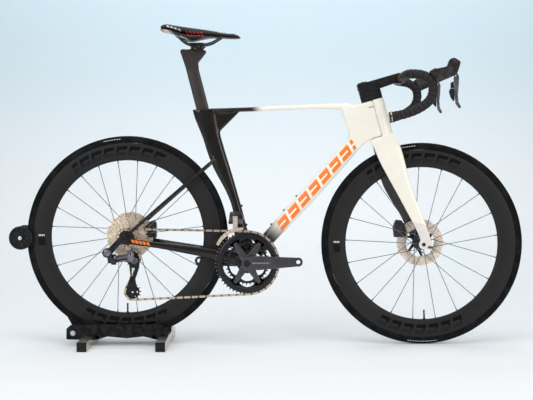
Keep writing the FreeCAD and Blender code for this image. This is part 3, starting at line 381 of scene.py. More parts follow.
def setting_out():
    """Sets copies of one item on marked places, each with its own turn and size."""
    tree = bpy.data.node_groups.new("setting_out", "GeometryNodeTree")
    for name, kind in (("Places", "Geometry"), ("Item", "Object"), ("Finish", "Material")):
        tree.interface.new_socket(name, in_out="INPUT", socket_type="NodeSocket" + kind)
    tree.interface.new_socket("Row", in_out="OUTPUT", socket_type="NodeSocketGeometry")
    given = tree.nodes.new("NodeGroupInput")
    made = tree.nodes.new("NodeGroupOutput")
    item = tree.nodes.new("GeometryNodeObjectInfo")
    turn = tree.nodes.new("GeometryNodeInputNamedAttribute")
    size = tree.nodes.new("GeometryNodeInputNamedAttribute")
    for attribute, name in ((turn, "turn"), (size, "size")):
        attribute.data_type = "FLOAT_VECTOR"
        attribute.inputs["Name"].default_value = name
    copies = tree.nodes.new("GeometryNodeInstanceOnPoints")
    real = tree.nodes.new("GeometryNodeRealizeInstances")
    coat = tree.nodes.new("GeometryNodeSetMaterial")
    angle = tree.nodes.new("FunctionNodeEulerToRotation")
    for start, end in ((given.outputs["Item"], item.inputs["Object"]),
                       (given.outputs["Places"], copies.inputs["Points"]),
                       (item.outputs["Geometry"], copies.inputs["Instance"]),
                       (turn.outputs["Attribute"], angle.inputs[0]),
                       (angle.outputs[0], copies.inputs["Rotation"]),
                       (size.outputs["Attribute"], copies.inputs["Scale"]),
                       (copies.outputs[0], real.inputs[0]), (real.outputs[0], coat.inputs["Geometry"]),
                       (given.outputs["Finish"], coat.inputs["Material"]), (coat.outputs[0], made.inputs[0])):
        tree.links.new(start, end)
    return tree


def grown(name, start, tree, crease=32, **values):
    """The plain mesh piece that a tree makes of a starting mesh."""
    holder = bpy.data.objects.new(name, start)
    bpy.context.scene.collection.objects.link(holder)
    modifier = holder.modifiers.new(name, "NODES")
    modifier.node_group = tree
    for socket in tree.interface.items_tree:
        if socket.in_out == "INPUT" and socket.name in values:
            modifier[socket.identifier] = values[socket.name]
    mesh = bpy.data.meshes.new_from_object(holder.evaluated_get(bpy.context.evaluated_depsgraph_get()))
    bpy.data.objects.remove(holder)
    for attribute in ("turn", "size"):
        if attribute in mesh.attributes:
            mesh.attributes.remove(mesh.attributes[attribute])
    mesh.shade_smooth()
    mesh.set_sharp_from_angle(angle=math.radians(crease))
    mesh.name = name
    part = bpy.data.objects.new(name, mesh)
    bpy.context.scene.collection.objects.link(part)
    return part


rows = setting_out()


def set_out(name, item, places, finish, crease=32):
    """Copies of an item's shell at (position, turn, size) places."""
    marks = bpy.data.meshes.new(name)
    marks.from_pydata([place[0] for place in places], [], [])
    for attribute, column in (("turn", 1), ("size", 2)):
        values = marks.attributes.new(attribute, "FLOAT_VECTOR", "POINT")
        values.data.foreach_set("vector", [n for place in places for n in place[column]])
    shape = bpy.data.meshes.new(name + "_item")
    item.to_mesh(shape)
    item.free()
    shape.materials.append(finish.material)
    master = bpy.data.objects.new(name + "_item", shape)
    bpy.context.scene.collection.objects.link(master)
    row = grown(name, marks, rows, crease, Item=master, Finish=finish.material)
    bpy.data.objects.remove(master)
    return row


nylon = Finish("roller_nylon", (0.009, 0.009, 0.010), 0.33, shine=0.2)
nylon.mottled((0.020, 0.020, 0.022), 90, 0.08).grained(1800, 0.08 * MM, 0.3)
edge = (roller_high.y - roller_low.y) / 2
size_r = (roller_high.z - roller_low.z) / 2
v_section = [(5.3 * MM, -edge), (12 * MM, -edge), (13.5 * MM, -edge + 3.5 * MM), (31 * MM, -edge + 3.5 * MM),
             (33 * MM, -edge), (size_r - 2 * MM, -edge), (size_r - 0.4 * MM, -edge + 1 * MM),
             (size_r, -edge + 2.5 * MM), (size_r - 0.5 * MM, -edge + 4.2 * MM), (9 * MM, -1.5 * MM)]
v_section += [(r, -y) for r, y in reversed(v_section)]
fix(as_piece("stand_v_roller", turned(v_section, roller, 96), nylon), "stand_roller", "black_plastic",
    "stand_roller")
rib = cut_plate([eased([(11.5 * MM, -2.6 * MM), (32 * MM, -1.2 * MM), (32 * MM, 1.2 * MM),
                        (11.5 * MM, 2.6 * MM)],
                       0.6 * MM, 2)], -1.9 * MM, 1.9 * MM, 0.5 * MM)
rib_places = [((roller.x, side * (edge - 2.1 * MM), roller.z), (0, -math.radians(36 * step), 0), (1, 1, 1))
              for step in range(10) for side in (-1, 1)]
fix(set_out("roller_ribs", rib, rib_places, nylon), "stand_roller", "black_plastic")

# ---- Frame ----
# One skin of moulded carbon fibre: head, top tube, down tube, seat tube and stays flow into each other.
# It is painted gloss black at the back and cream at the front, with plain slanted orange bars as decoration.


def skin_over(nodes, swell, filler=None):
    """The merged mesh of several solids, each a little swollen so that they fuse."""
    shell = bmesh.new()
    for node in nodes:
        solid = bmesh.new()
        solid.from_mesh(frame["nodes"][node].data)
        bmesh.ops.remove_doubles(solid, verts=solid.verts, dist=2e-6)
        solid.normal_update()
        places = [vert.co + vert.normal * swell for vert in solid.verts]
        for vert, place in zip(solid.verts, places):
            vert.co = place
        flat = bpy.data.meshes.new("solid")
        solid.to_mesh(flat)
        solid.free()
        shell.from_mesh(flat)
    if filler:
        flat = bpy.data.meshes.new("filler")
        filler.to_mesh(flat)
        filler.free()
        shell.from_mesh(flat)
    mesh = bpy.data.meshes.new("skin")
    shell.to_mesh(mesh)
    shell.free()
    mesh.materials.clear()
    return mesh


def moulded(name, nodes, cell, rubs, soft=(), swell=0.0, filler=None):
    """One closed skin over several solids, rubbed smooth, and softer within reach of the listed places."""
    holder = bpy.data.objects.new(name, skin_over(nodes, swell, filler))
    bpy.context.scene.collection.objects.link(holder)
    remesh = holder.modifiers.new("mould", "REMESH")
    remesh.mode = "VOXEL"
    remesh.voxel_size = cell
    mesh = bpy.data.meshes.new_from_object(holder.evaluated_get(bpy.context.evaluated_depsgraph_get()))
    bpy.data.objects.remove(holder)
    count = len(mesh.vertices)
    place = np.empty(count * 3)
    mesh.vertices.foreach_get("co", place)
    outward = np.empty(count * 3)
    mesh.vertex_normals.foreach_get("vector", outward)
    place = (place - swell * outward).reshape(-1, 3)
    ends = np.empty(len(mesh.edges) * 2, dtype=np.int64)
    mesh.edges.foreach_get("vertices", ends)
    a, b = ends.reshape(-1, 2).T
    degree = np.maximum(np.bincount(ends, minlength=count), 1)[:, None]

    def pull(points):
        total = [np.bincount(a, points[b, i], count) + np.bincount(b, points[a, i], count) for i in range(3)]
        return np.stack(total, 1) / degree - points

    for centre, reach, rounds in soft:
        far = np.linalg.norm(place - np.array(centre), axis=1)
        weight = np.clip(1.6 * (1 - far / reach), 0, 1)[:, None]
        for _ in range(rounds):
            place += 0.5 * weight * pull(place)
    for _ in range(rubs):
        place += 0.5 * pull(place)
        place -= 0.52 * pull(place)
    mesh.vertices.foreach_set("co", place.ravel())
    mesh.update()
    return mesh


def bars(finish, along, across, start, end, half, pitch, share, slant):
    """A row of plain slanted bars between two distances along a surface."""
    leaning = finish.sum("MULTIPLY_ADD", across, slant, along)
    inside = finish.times(finish.above(leaning, start), finish.below(leaning, end))
    narrow = finish.below(finish.far(across), half)
    phase = finish.part(finish.sum("DIVIDE", finish.minus(leaning, start), pitch))
    return finish.times(finish.times(inside, narrow), finish.below(phase, share))


CREAM = (0.95, 0.90, 0.775, 1.0)
ORANGE = (1.0, 0.225, 0.02, 1.0)
frame_paint = Finish("frame_paint", (0.0060, 0.0045, 0.0038), 0.22, coat=0.4, coat_rough=0.03, shine=0.2)
x, y, z = frame_paint.axes()
along_tube = frame_paint.plus(frame_paint.times(x, 0.668), frame_paint.times(z, 0.744))
across_tube = frame_paint.minus(frame_paint.times(x, 0.744),
                              frame_paint.times(z, 0.668))
off_axis = frame_paint.plus(across_tube, 0.232)
top_fade = frame_paint.times(frame_paint.ramp(x, -0.052, -0.008), frame_paint.above(z, 0.70))
low_fade = frame_paint.times(frame_paint.ramp(along_tube, 0.268, 0.352),
                           frame_paint.above(across_tube, -0.33))
cream_part = frame_paint.most(top_fade, low_fade)
flakes = frame_paint.speckle(700, detail=1.0)
black_paint = frame_paint.over(frame_paint.ramp(flakes, 0.3, 0.7), frame_paint.tone,
                               (0.015, 0.0115, 0.0095, 1.0))
cloudy = frame_paint.blend(14, CREAM, (0.95, 0.90, 0.80, 1.0))
two_tone = frame_paint.over(cream_part, black_paint, cloudy)
wide_bars = bars(frame_paint, along_tube, off_axis, 0.324, 0.700, 0.0165, 0.0520, 0.80, 0.35)
slits = bars(frame_paint, along_tube, off_axis, 0.324, 0.700, 0.0030, 0.0520, 0.62, 0.35)
decor = frame_paint.times(wide_bars, frame_paint.minus(1.0, slits))
stay_along = frame_paint.plus(x, 0.4150)
stay_across = frame_paint.plus(frame_paint.minus(z, 0.3475), frame_paint.times(stay_along, 0.17))
stay_bars = bars(frame_paint, x, stay_across, -0.445, -0.384, 0.0048, 0.0123, 0.74, 0.5)
near_side = frame_paint.below(y, 0.0)
decor = frame_paint.most(decor, frame_paint.times(stay_bars, near_side))
from_slit = frame_paint.far(frame_paint.minus(frame_paint.minus(z, 0.7390),
                                                        frame_paint.times(x, 0.17)))
slit = frame_paint.below(frame_paint.most(frame_paint.times(from_slit, 6.5),
                                          frame_paint.far(frame_paint.minus(x, 0.3526))), 0.0085)
decorated = frame_paint.over(decor, two_tone, ORANGE)
frame_paint.set("Base Color", frame_paint.over(slit, decorated, (0.03, 0.03, 0.035, 1.0)))
frame_paint.sheen(40, 0.18, 0.30)
frame_paint.grained(260, 0.03 * MM, 0.15)

bracket = at_joint("crank_spin")
soft_places = [((0.335, 0, 0.760), 0.130, 45), ((-0.190, 0, 0.745), 0.090, 40), ((-0.140, 0, 0.660), 0.080, 15),
               ((bracket.x, 0, bracket.z), 0.060, 1), ((-0.010, 0, 0.350), 0.040, 6),
               ((0.290, 0, 0.680), 0.060, 20), ((-0.180, 0, 0.615), 0.035, 12)]
frame_nodes = ["head_section", "top_tube", "down_tube", "seat_tube", "bottom_bracket", "chainstays",
               "seatstays"]
root = eased([(-0.043, 0.336), (-0.099, 0.330), (-0.091, 0.296), (-0.046, 0.300)], 2 * MM, 2)
frame_skin = moulded("frame", frame_nodes, 2.3 * MM, 14, soft_places, 1.0 * MM,
                     cut_plate([root], -19 * MM, 19 * MM, 2 * MM))
fix(as_piece("carbon_frame", frame_skin, frame_paint, 80), "bike_frame", "cream_gloss", *frame_nodes)

# ---- Frame: bracket cups and bottle bolts ----
# Black alloy cups hold the crank bearings at both sides of the bracket shell.
# Five button-head bolts close the bottle-cage bosses: three on the down tube and two on the seat tube.

black_alloy = Finish("black_anodised", (0.016, 0.016, 0.018), 0.32, metal=0.6)
black_alloy.mottled((0.028, 0.028, 0.031), 200, 0.08).grained(1600, 0.05 * MM, 0.3)
cups = []
for side in (-1, 1):
    cup = in_mm([(12.4, 41), (24.5, 41), (25, 41.6), (25, 44.6), (23.8, 46), (14, 46), (12.4, 45)])
    cups.append(turned([(r, side * d) for r, d in cup], bracket, 64))
fix(as_piece("bracket_cups", joined(*cups), black_alloy), "bike_frame", "ring_alloy")


def button_head(radius, height):
    """A domed bolt head with its socket, standing on the XY plane."""
    shell = bmesh.new()
    rims = [(radius, -0.4 * height), (radius, 0.35 * height), (0.82 * radius, 0.8 * height),
            (0.55 * radius, height),
            (0.5 * radius, 0.45 * height), (0.0, 0.4 * height)]
    loops = []
    for r, h in rims:
        loops.append([shell.verts.new((r * math.cos(math.pi * step / 6), r * math.sin(math.pi * step / 6), h))
                      for step in range(12)])
    for low, high in zip(loops, loops[1:]):
        for step in range(12):
            shell.faces.new((low[step], low[(step + 1) % 12], high[(step + 1) % 12], high[step]))
    shell.faces.new(list(reversed(loops[0])))
    bmesh.ops.remove_doubles(shell, verts=shell.verts, dist=1e-7)
    bmesh.ops.dissolve_degenerate(shell, dist=1e-7, edges=shell.edges)
    bmesh.ops.recalc_face_normals(shell, faces=shell.faces)
    return shell


def facing(position, direction):
    """A place whose Z axis looks along a direction."""
    turn = Vector(direction).to_track_quat("Z", "Y").to_euler()
    return (tuple(position), tuple(turn), (1, 1, 1))


boss = [mount for mount in frame["record"]["mounts"] if mount["name"] == "bottle_bosses"][0]
boss_middle = Vector(boss["pos_m"])
boss_out = Vector(boss["axis"])
tube_line = Vector((boss_out.z, 0, -boss_out.x))
bolt_places = [facing(boss_middle + tube_line * reach * MM + boss_out * 0.4 * MM,
                      boss_out) for reach in (-32, 32, 96)]
seat_front = Vector((0.970, 0, 0.243))
bolt_places += [facing((-0.0842, 0, 0.466), seat_front), facing((-0.0682, 0, 0.402), seat_front)]
fix(set_out("bottle_bolts", button_head(4.2 * MM, 3.4 * MM), bolt_places, black_alloy), "bike_frame",
    "dark_alloy")

# ---- Fork ----
# A carbon fork with flat, deep blades and a fairing that covers the front of the head.
# The right blade is painted cream, with a pale grey-rose foot, and the left blade is bare black.

fork_paint = Finish("fork_paint", CREAM[:3], 0.22, coat=0.5, coat_rough=0.03, shine=0.3)
x, y, z = fork_paint.axes()
slope = fork_paint.plus(z, fork_paint.times(x, 0.28))
foot_part = fork_paint.below(slope, 0.5535)
foot_tone = fork_paint.blend(60, (0.80, 0.72, 0.68, 1), (0.84, 0.77, 0.73, 1))
cloudy = fork_paint.blend(14, CREAM, (0.95, 0.90, 0.80, 1.0))
painted = fork_paint.over(foot_part, cloudy, foot_tone)
blade_middle = fork_paint.sum("MULTIPLY_ADD", z, -0.0745, 0.0803)
inner_face = fork_paint.ramp(fork_paint.plus(y, blade_middle), 0.0005, 0.0022)
low_down = fork_paint.ramp(z, 0.668, 0.655)
left_leg = fork_paint.ramp(y, 0.010, 0.014)
bare = fork_paint.times(fork_paint.most(left_leg, inner_face), low_down)
fork_paint.set("Base Color", fork_paint.over(bare, painted, (0.012, 0.010, 0.009, 1.0)))
fork_paint.sheen(40, 0.18, 0.30).grained(260, 0.03 * MM, 0.15)
front = at_joint("front_wheel_spin")
rear = at_joint("rear_wheel_spin")
fork_soft = [((0.405, 0, 0.680), 0.075, 14), ((0.470, -0.04, 0.560), 0.10, 5), ((0.470, 0.04, 0.560), 0.10, 5)]
fix(as_piece("fork_and_fairing", moulded("fork", ["fork"], 1.7 * MM, 12, fork_soft), fork_paint, 60),
    "steering", "cream_gloss", "fork")

# ---- Axles ----
# Black alloy through-axles hold the wheels in the fork and the dropouts.
# A low domed end with a socket shows at the right side of each.

for node in ("front_axle", "rear_axle"):
    carried(node, black_alloy)
socket_places = [((front.x, -0.0604, front.z), (math.pi / 2, 0, 0), (1, 1, 1)),
                 ((rear.x, -0.0794, rear.z), (math.pi / 2, 0, 0), (1, 1, 1))]
fix(set_out("front_axle_end", button_head(5.8 * MM, 1.2 * MM), socket_places[:1], black_alloy), "steering",
    "dark_alloy")
fix(set_out("rear_axle_end", button_head(7.5 * MM, 1.6 * MM), socket_places[1:], black_alloy), "bike_frame",
    "dark_alloy")

# ---- Headset spacers and stem ----
# Three moulded spacers under the stem guide the hoses down into the head.
# The stem is forged and anodised satin black; its top cap and clamp are held by small bolts.

satin_black = Finish("satin_black", (0.012, 0.011, 0.012), 0.36, metal=0.2, shine=0.22)
satin_black.mottled((0.024, 0.023, 0.024), 120, 0.08).grained(1300, 0.06 * MM, 0.3)
carried("headset_spacers", moulded_black)
stem_soft = [((0.345, 0, 0.880), 0.05, 6), ((0.455, 0, 0.897), 0.04, 6)]
fix(as_piece("stem_body", moulded("stem", ["stem"], 1.1 * MM, 10, stem_soft), satin_black, 60),
    "steering", "dark_carbon", "stem")
steer_up = Vector((-0.2672, 0, 0.9636))
steer_on = Vector((0.9636, 0, 0.2672))
steer_foot = front - steer_on * 45 * MM
cap_top = steer_foot + steer_up * 577.6 * MM - steer_on * 4 * MM
stem_bolts = [facing(cap_top, steer_up)]
for across in (-13, 13):
    stem_bolts.append(facing((0.4728, across * MM, 0.9005), (0.97, 0, 0.15)))
    stem_bolts.append(facing((0.4690, across * MM, 0.8855), (0.97, 0, -0.15)))
    stem_bolts.append(facing(steer_foot + steer_up * 558 * MM - steer_on * 23.2 * MM + Vector((0, across * MM,
                                                                                               0)),
                             -steer_on))
fix(set_out("stem_bolts", button_head(3.2 * MM, 1.6 * MM), stem_bolts, black_alloy), "steering", "dark_alloy")

# ---- Handlebar and tape ----
# A black alloy bar with dropped ends, wrapped from the tops to the ends in padded, perforated tape; the bar's
# visible middle is coloured light warm beige as a painted reflection.
# Each turn of the tape overlaps the last, with painted shade darkening the line of each overlap, and an alloy-ringed
# plug holds its end in the bar.

# Painted reflection: the black bar is given a light warm beige base colour in place of the studio's reflection on
# its glossy surface.
bar_painted_reflection = Finish("handlebar_painted_reflection", (0.16, 0.13, 0.10), 0.20, metal=0.7, coat=0.5)
bar_painted_reflection.mottled((0.22, 0.18, 0.14), 60, 0.06).grained(1200, 0.03 * MM, 0.25)
carried("handlebar", bar_painted_reflection)
bar_route = [(455, 84, 897), (455, 135, 897), (466, 182, 899), (508, 196, 893.5), (534, 198, 872),
             (536.5, 199, 838), (524, 199, 809), (488, 200, 783.5), (441, 200, 766.5), (398, 200, 759.5)]


def bend_line(points, spacing):
    """Evenly spaced points along straight runs joined by bends, as a bar is bent."""
    dense = [points[0]]
    for back, here, ahead in zip(points, points[1:], points[2:]):
        before, after = back - here, ahead - here
        half_turn = before.angle(after) / 2
        reach = 0.45 * min(before.length, after.length)
        radius = reach * math.tan(half_turn)
        inward = (before.normalized() + after.normalized()).normalized()
        middle = here + inward * (radius / math.sin(half_turn))
        start = here + before.normalized() * reach - middle
        swing = math.pi - 2 * half_turn
        axis = start.cross(here + after.normalized() * reach - middle).normalized()
        dense += [middle + Matrix.Rotation(swing * step / 10, 3, axis) @ start for step in range(11)]
    dense.append(points[-1])
    gaps = [(b - a).length for a, b in zip(dense, dense[1:])]
    reach = np.concatenate([[0], np.cumsum(gaps)])
    marks = np.linspace(0, reach[-1], max(2, int(reach[-1] / spacing) + 1))
    return [Vector(np.interp(mark, reach, [p[i] for p in dense]) for i in range(3)) for mark in marks], marks


def sleeve(line, radius_at, around=24, wind=0.0):
    """A tube along a line; radius_at gives the radius at each ring and angle, and wind is how far its wrapping
    climbs in a turn, in rings."""
    shell = bmesh.new()
    layer = shell.loops.layers.uv.new("UVMap")
    normal = (line[1] - line[0]).orthogonal()
    rings = []
    for number, point in enumerate(line):
        ahead = (line[min(number + 1, len(line) - 1)] - line[max(number - 1, 0)]).normalized()
        normal = (normal - ahead * normal.dot(ahead)).normalized()
        side = ahead.cross(normal)
        ring = []
        for step in range(around):
            turn = 2 * math.pi * step / around
            ring.append(shell.verts.new(point + (normal * math.cos(turn) + side * math.sin(turn)) * radius_at(number, turn)))
        rings.append(ring)
    for number, (here, after) in enumerate(zip(rings, rings[1:])):
        for step in range(around):
            following = (step + 1) % around
            face = shell.faces.new((here[step], here[following], after[following], after[step]))
            for loop, (u, v) in zip(face.loops, ((step, number), (step + 1, number), (step + 1, number + 1),
                                                 (step, number + 1))):
                loop[layer].uv = (u / around,
                                  (v / abs(wind) if wind else v / 100) + (u / around if wind > 0 else -u / around))
    for ring in (rings[0], rings[-1]):
        shell.faces.new(ring)
    bmesh.ops.recalc_face_normals(shell, faces=shell.faces)
    return shell


bar_tape = Finish("bar_tape", (0.011, 0.011, 0.012), 0.52, shine=0.15)
u, wrap, _ = bar_tape.axes(bar_tape.add("UVMap").outputs[0])
within = bar_tape.part(wrap)
# Painted shade: the tape is coloured near black where each turn overlaps the last, fading to its own tone between.
overlap_shade_fade = bar_tape.times(bar_tape.ramp(within, 0.0, 0.16), bar_tape.ramp(within, 1.0, 0.93))
pores_u = bar_tape.minus(bar_tape.part(bar_tape.times(u, 26.0)), 0.5)
pores_v = bar_tape.minus(bar_tape.part(bar_tape.times(wrap, 5.0)), 0.5)
from_pore = bar_tape.plus(bar_tape.times(pores_u, pores_u), bar_tape.times(pores_v, pores_v))
pore = bar_tape.ramp(from_pore, 0.02, 0.07)
fibre = bar_tape.ramp(bar_tape.speckle(420), 0.3, 0.7)
crown_tone = bar_tape.over(fibre, (0.022, 0.019, 0.0195, 1.0), (0.036, 0.032, 0.033, 1.0))
pored = bar_tape.over(pore, (0.006, 0.0055, 0.0055, 1.0), crown_tone)
bar_tape.set("Base Color", bar_tape.over(overlap_shade_fade, (0.002, 0.002, 0.002, 1.0), pored))
bar_tape.set("Roughness", bar_tape.ramp(fibre, 0.0, 1.0, 0.42, 0.58)).raised(pore, 0.20 * MM, 0.4)
wraps = []
for side in (-1, 1):
    points = [Vector((x, side * y, z)) * MM for x, y, z in bar_route]
    line, marks = bend_line(points, 1.2 * MM)
    turn_rings = 15.6 * MM / (marks[1] - marks[0])

    def tape_radius(number, turn, turn_rings=turn_rings, side=side, count=len(line)):
        phase = (number / turn_rings + side * turn / (2 * math.pi)) % 1.0
        swell = 1.5 * math.sin(math.pi * phase) ** 0.6
        return (13.95 + swell - 1.0 * max(0.0, 1 - min(number, count - 1 - number) / 2)) * MM

    wraps.append(sleeve(line, tape_radius, 28, side * turn_rings))
fix(as_piece("wrapped_tape", joined(*wraps), bar_tape, 40), "steering", "tape", "bar_tape")
champagne = Finish("champagne_alloy", (0.76, 0.62, 0.47), 0.26, metal=1.0)
champagne.mottled((0.64, 0.52, 0.40), 240, 0.07).grained(2600, 0.03 * MM, 0.3)
plugs = []
plug_rings = []
for side in (-1, 1):
    end = Vector((398, side * 200, 759.5)) * MM
    back = Vector((-0.99, 0, -0.16)).normalized()
    line = [end + back * step * MM for step in (-4, -1, 0.2, 2.2, 2.6)]
    plugs.append(sleeve(line, lambda number, turn: (14.6, 15.2, 15.2, 14.4, 12.5)[number] * MM, 32))
    line = [end - back * step * MM for step in (2.2, 2.6, 5.4, 5.8)]
    plug_rings.append(sleeve(line, lambda number, turn: (15.0, 15.6, 15.6, 15.0)[number] * MM, 32))
fix(as_piece("bar_end_plugs", joined(*plugs), moulded_black), "steering", "black_plastic")
fix(as_piece("tape_end_rings", joined(*plug_rings), champagne), "steering", "bare_steel")

# ---- Lever hoods ----
# Soft rubber hoods stretched over the lever bodies, near black, finely ribbed for grip.
# The horn at the front is rounded for the hand.

hood_rubber = Finish("hood_rubber", (0.016, 0.013, 0.0128), 0.55, shine=0.15)
hood_rubber.mottled((0.055, 0.047, 0.051), 45, 0.07)
hood_rubber.raised(hood_rubber.plus(hood_rubber.times(hood_rubber.sum(
    "SINE", hood_rubber.times(hood_rubber.axes()[0], 2600.0)), 0.25), hood_rubber.speckle(1500)), 0.10 * MM,
                   0.35)
hood_soft = [((0.570, side * 0.198, 0.905), 0.14, 60) for side in (-1, 1)]
fix(as_piece("rubber_hoods", moulded("hoods", ["lever_hoods"], 1.25 * MM, 8, hood_soft), hood_rubber, 60),
    "steering", "hood_rubber", "lever_hoods")

# ---- Brake levers and shift buttons ----
# Each lever is a cast blade, glossy grey outside, that narrows to its curved tip; it swings on a pin in the hood.
# Two small grained buttons sit behind it, one above the other.

lever_gloss = Finish("lever_gloss", (0.10, 0.095, 0.105), 0.24, metal=0.55, coat=0.6)
lever_gloss.mottled((0.15, 0.142, 0.155), 30, 0.06).grained(900, 0.03 * MM, 0.2)
for word in ("right", "left"):
    side = -1 if word == "right" else 1
    blade = moulded("lever", [word + "_brake_lever"], 0.85 * MM, 8,
                    [((0.610, side * 0.198, 0.840), 0.075, 9)])
    low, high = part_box(word + "_brake_lever")
    for vertex in blade.vertices:
        down = (high.z - 0.03 - vertex.co.z) / (high.z - 0.03 - low.z)
        slim = 1 - 0.45 * max(0.0, min(1.0, down))
        vertex.co.y = side * 0.198 + (vertex.co.y - side * 0.198) * slim
    fix(as_piece(word + "_lever_blade", blade, lever_gloss, 60), word + "_brake_lever", "dark_alloy",
        word + "_brake_lever")
    for spot in ("upper", "lower"):
        node = word + "_" + spot + "_shift_button"
        pad = moulded("button", [node], 0.6 * MM, 6, [((0.598, side * 0.198, 0.845), 0.06, 5)])
        fix(as_piece(word + "_" + spot + "_button", pad, moulded_black, 60), node, "black_plastic", node)

# ---- Seatpost and clamp ----
# A flat carbon post, bare and satin, slides in the seat tube and swells into a head for the rail clamp.
# The clamp is black alloy, with three small bronze-coloured bolt heads at each side.

bare_carbon = Finish("bare_carbon", (0.030, 0.0225, 0.020), 0.42, coat=0.15, coat_rough=0.25, shine=0.35)
weave_x = bare_carbon.add("TexWave", bare_carbon.moved(), 210.0, 0.6, 2.0, bands_direction="DIAGONAL")
weave_fac = weave_x.outputs["Fac"]
bare_carbon.set("Base Color",
                bare_carbon.over(bare_carbon.ramp(bare_carbon.times(weave_fac, bare_carbon.speckle(25)), 0.1,
                                                  0.5), bare_carbon.tone, (0.040, 0.031, 0.027, 1)))
bare_carbon.sheen(80, 0.36, 0.50).raised(weave_fac, 0.03 * MM, 0.2)
fix(as_piece("carbon_seatpost", moulded("post", ["seatpost"], 1.2 * MM, 5), bare_carbon, 50),
    "seatpost", "dark_carbon", "seatpost")
carried("saddle_clamp", black_alloy)
tilt = pivot["saddle_tilt"]
clamp_low, clamp_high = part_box("saddle_clamp")
clamp_bolts = []
for side in (-1, 1):
    y = clamp_low.y if side < 0 else clamp_high.y
    clamp_bolts += [facing((tilt.x + reach * MM, y, tilt.z + rise * MM), (0, side, 0))
                    for reach, rise in ((-13, 4), (13, 4), (0, -3))]
bronze = Finish("bronze_bolt", (0.20, 0.145, 0.085), 0.32, metal=1.0)
bronze.mottled((0.14, 0.10, 0.06), 300, 0.08).grained(2400, 0.03 * MM, 0.3)
fix(set_out("clamp_bolts", button_head(2.8 * MM, 1.6 * MM), clamp_bolts, bronze), "saddle", "dark_alloy")

# ---- Saddle: rails and shell ----
# Two rails of oval section run from the nose to the tail, lacquered dark green-grey.
# The shell under the padding is moulded nylon; thin beige lines at the tail and along its lower edge are painted
# highlights.

rail_lacquer = Finish("rail_lacquer", (0.035, 0.050, 0.055), 0.30, metal=0.5)
rail_lacquer.mottled((0.050, 0.068, 0.074), 150, 0.08).grained(1500, 0.05 * MM, 0.3)
carried("saddle_rails", rail_lacquer)
shell_nylon = Finish("saddle_shell", (0.010, 0.009, 0.009), 0.35, shine=0.3)


def red_slots(finish):
    x, y, z = finish.axes()
    on_flank = finish.above(finish.far(y), 0.020)
    height = finish.minus(z, finish.sum("MULTIPLY_ADD", x, -0.05, 1.0305))
    return finish.times(bars(finish, x, height, -0.2655, -0.2050, 0.0072, 0.0120, 0.42, 0.50), on_flank)


x, y, z = shell_nylon.axes()
# Painted highlights: two thin beige lines, at the tail and along the lower edge, stand in for light catching the
# shell.
edge_line = shell_nylon.minus(z, shell_nylon.sum("MULTIPLY_ADD", x, -0.33, 0.9425))
rear_edge_highlight = bars(shell_nylon, x, edge_line, -0.347, -0.327, 0.0028, 1.0, 0.9, 0.0)
low_line = shell_nylon.minus(z, shell_nylon.sum("MULTIPLY_ADD", x, -0.42, 0.9130))
low_edge_highlight = bars(shell_nylon, x, low_line, -0.286, -0.262, 0.0014, 1.0, 0.9, 0.0)
nylon_tone = shell_nylon.blend(160, shell_nylon.tone, (0.018, 0.017, 0.017, 1))
with_slots = shell_nylon.over(red_slots(shell_nylon), nylon_tone, (0.62, 0.062, 0.045, 1))
shell_nylon.set("Base Color",
                shell_nylon.over(shell_nylon.most(rear_edge_highlight, low_edge_highlight), with_slots, (0.62, 0.49, 0.33, 1)))
shell_nylon.sheen(90, 0.28, 0.42).grained(1500, 0.06 * MM, 0.3)
base = moulded("shell", ["saddle_shell"], 1.6 * MM, 10)
for vertex in base.vertices:
    tuck = max(0.0, min(1.0, (-0.306 - vertex.co.x) / 0.014))
    joint_z = 1.057 - 0.10 * (vertex.co.x + 0.338)
    vertex.co.z += tuck * 0.68 * max(0.0, joint_z - vertex.co.z)
fix(as_piece("saddle_base", base, shell_nylon, 60),
    "saddle", "black_plastic", "saddle_shell")

# ---- Saddle: padding ----
# Foam under a tight microfibre cover, swelled over the shell and drawn in round its lower edge.
# Five slanted red slots are pressed in each flank and a row of small pale dashes is printed on the tail.

cover = Finish("saddle_cover", (0.014, 0.012, 0.013), 0.46, shine=0.35)
x, y, z = cover.axes()
slots = red_slots(cover)
dash_height = cover.minus(z, cover.sum("MULTIPLY_ADD", x, -0.32, 0.9610))
dashes = bars(cover, x, dash_height, -0.331, -0.281, 0.0030, 0.0128, 0.66, 0.4)
dashes = cover.times(dashes, cover.above(cover.far(y), 0.030))
nose_height = cover.minus(z, cover.sum("MULTIPLY_ADD", x, -0.10, 1.0350))
nose_dashes = bars(cover, x, nose_height, -0.163, -0.118, 0.0014, 0.0075, 0.6, 0.3)
nose_dashes = cover.times(nose_dashes, cover.above(cover.far(y), 0.006))
dashes = cover.most(dashes, nose_dashes)
nap = cover.ramp(cover.speckle(900, detail=2.0), 0.3, 0.7)
plain = cover.over(nap, cover.tone, (0.030, 0.026, 0.028, 1))
cover.set("Base Color",
          cover.over(dashes, cover.over(slots, plain, (0.62, 0.062, 0.045, 1)), (0.80, 0.77, 0.80, 1)))
cover.set("Roughness", cover.ramp(nap, 0, 1, 0.40, 0.54))
cover.raised(cover.minus(cover.times(nap, 0.2), slots), 0.4 * MM, 0.45)


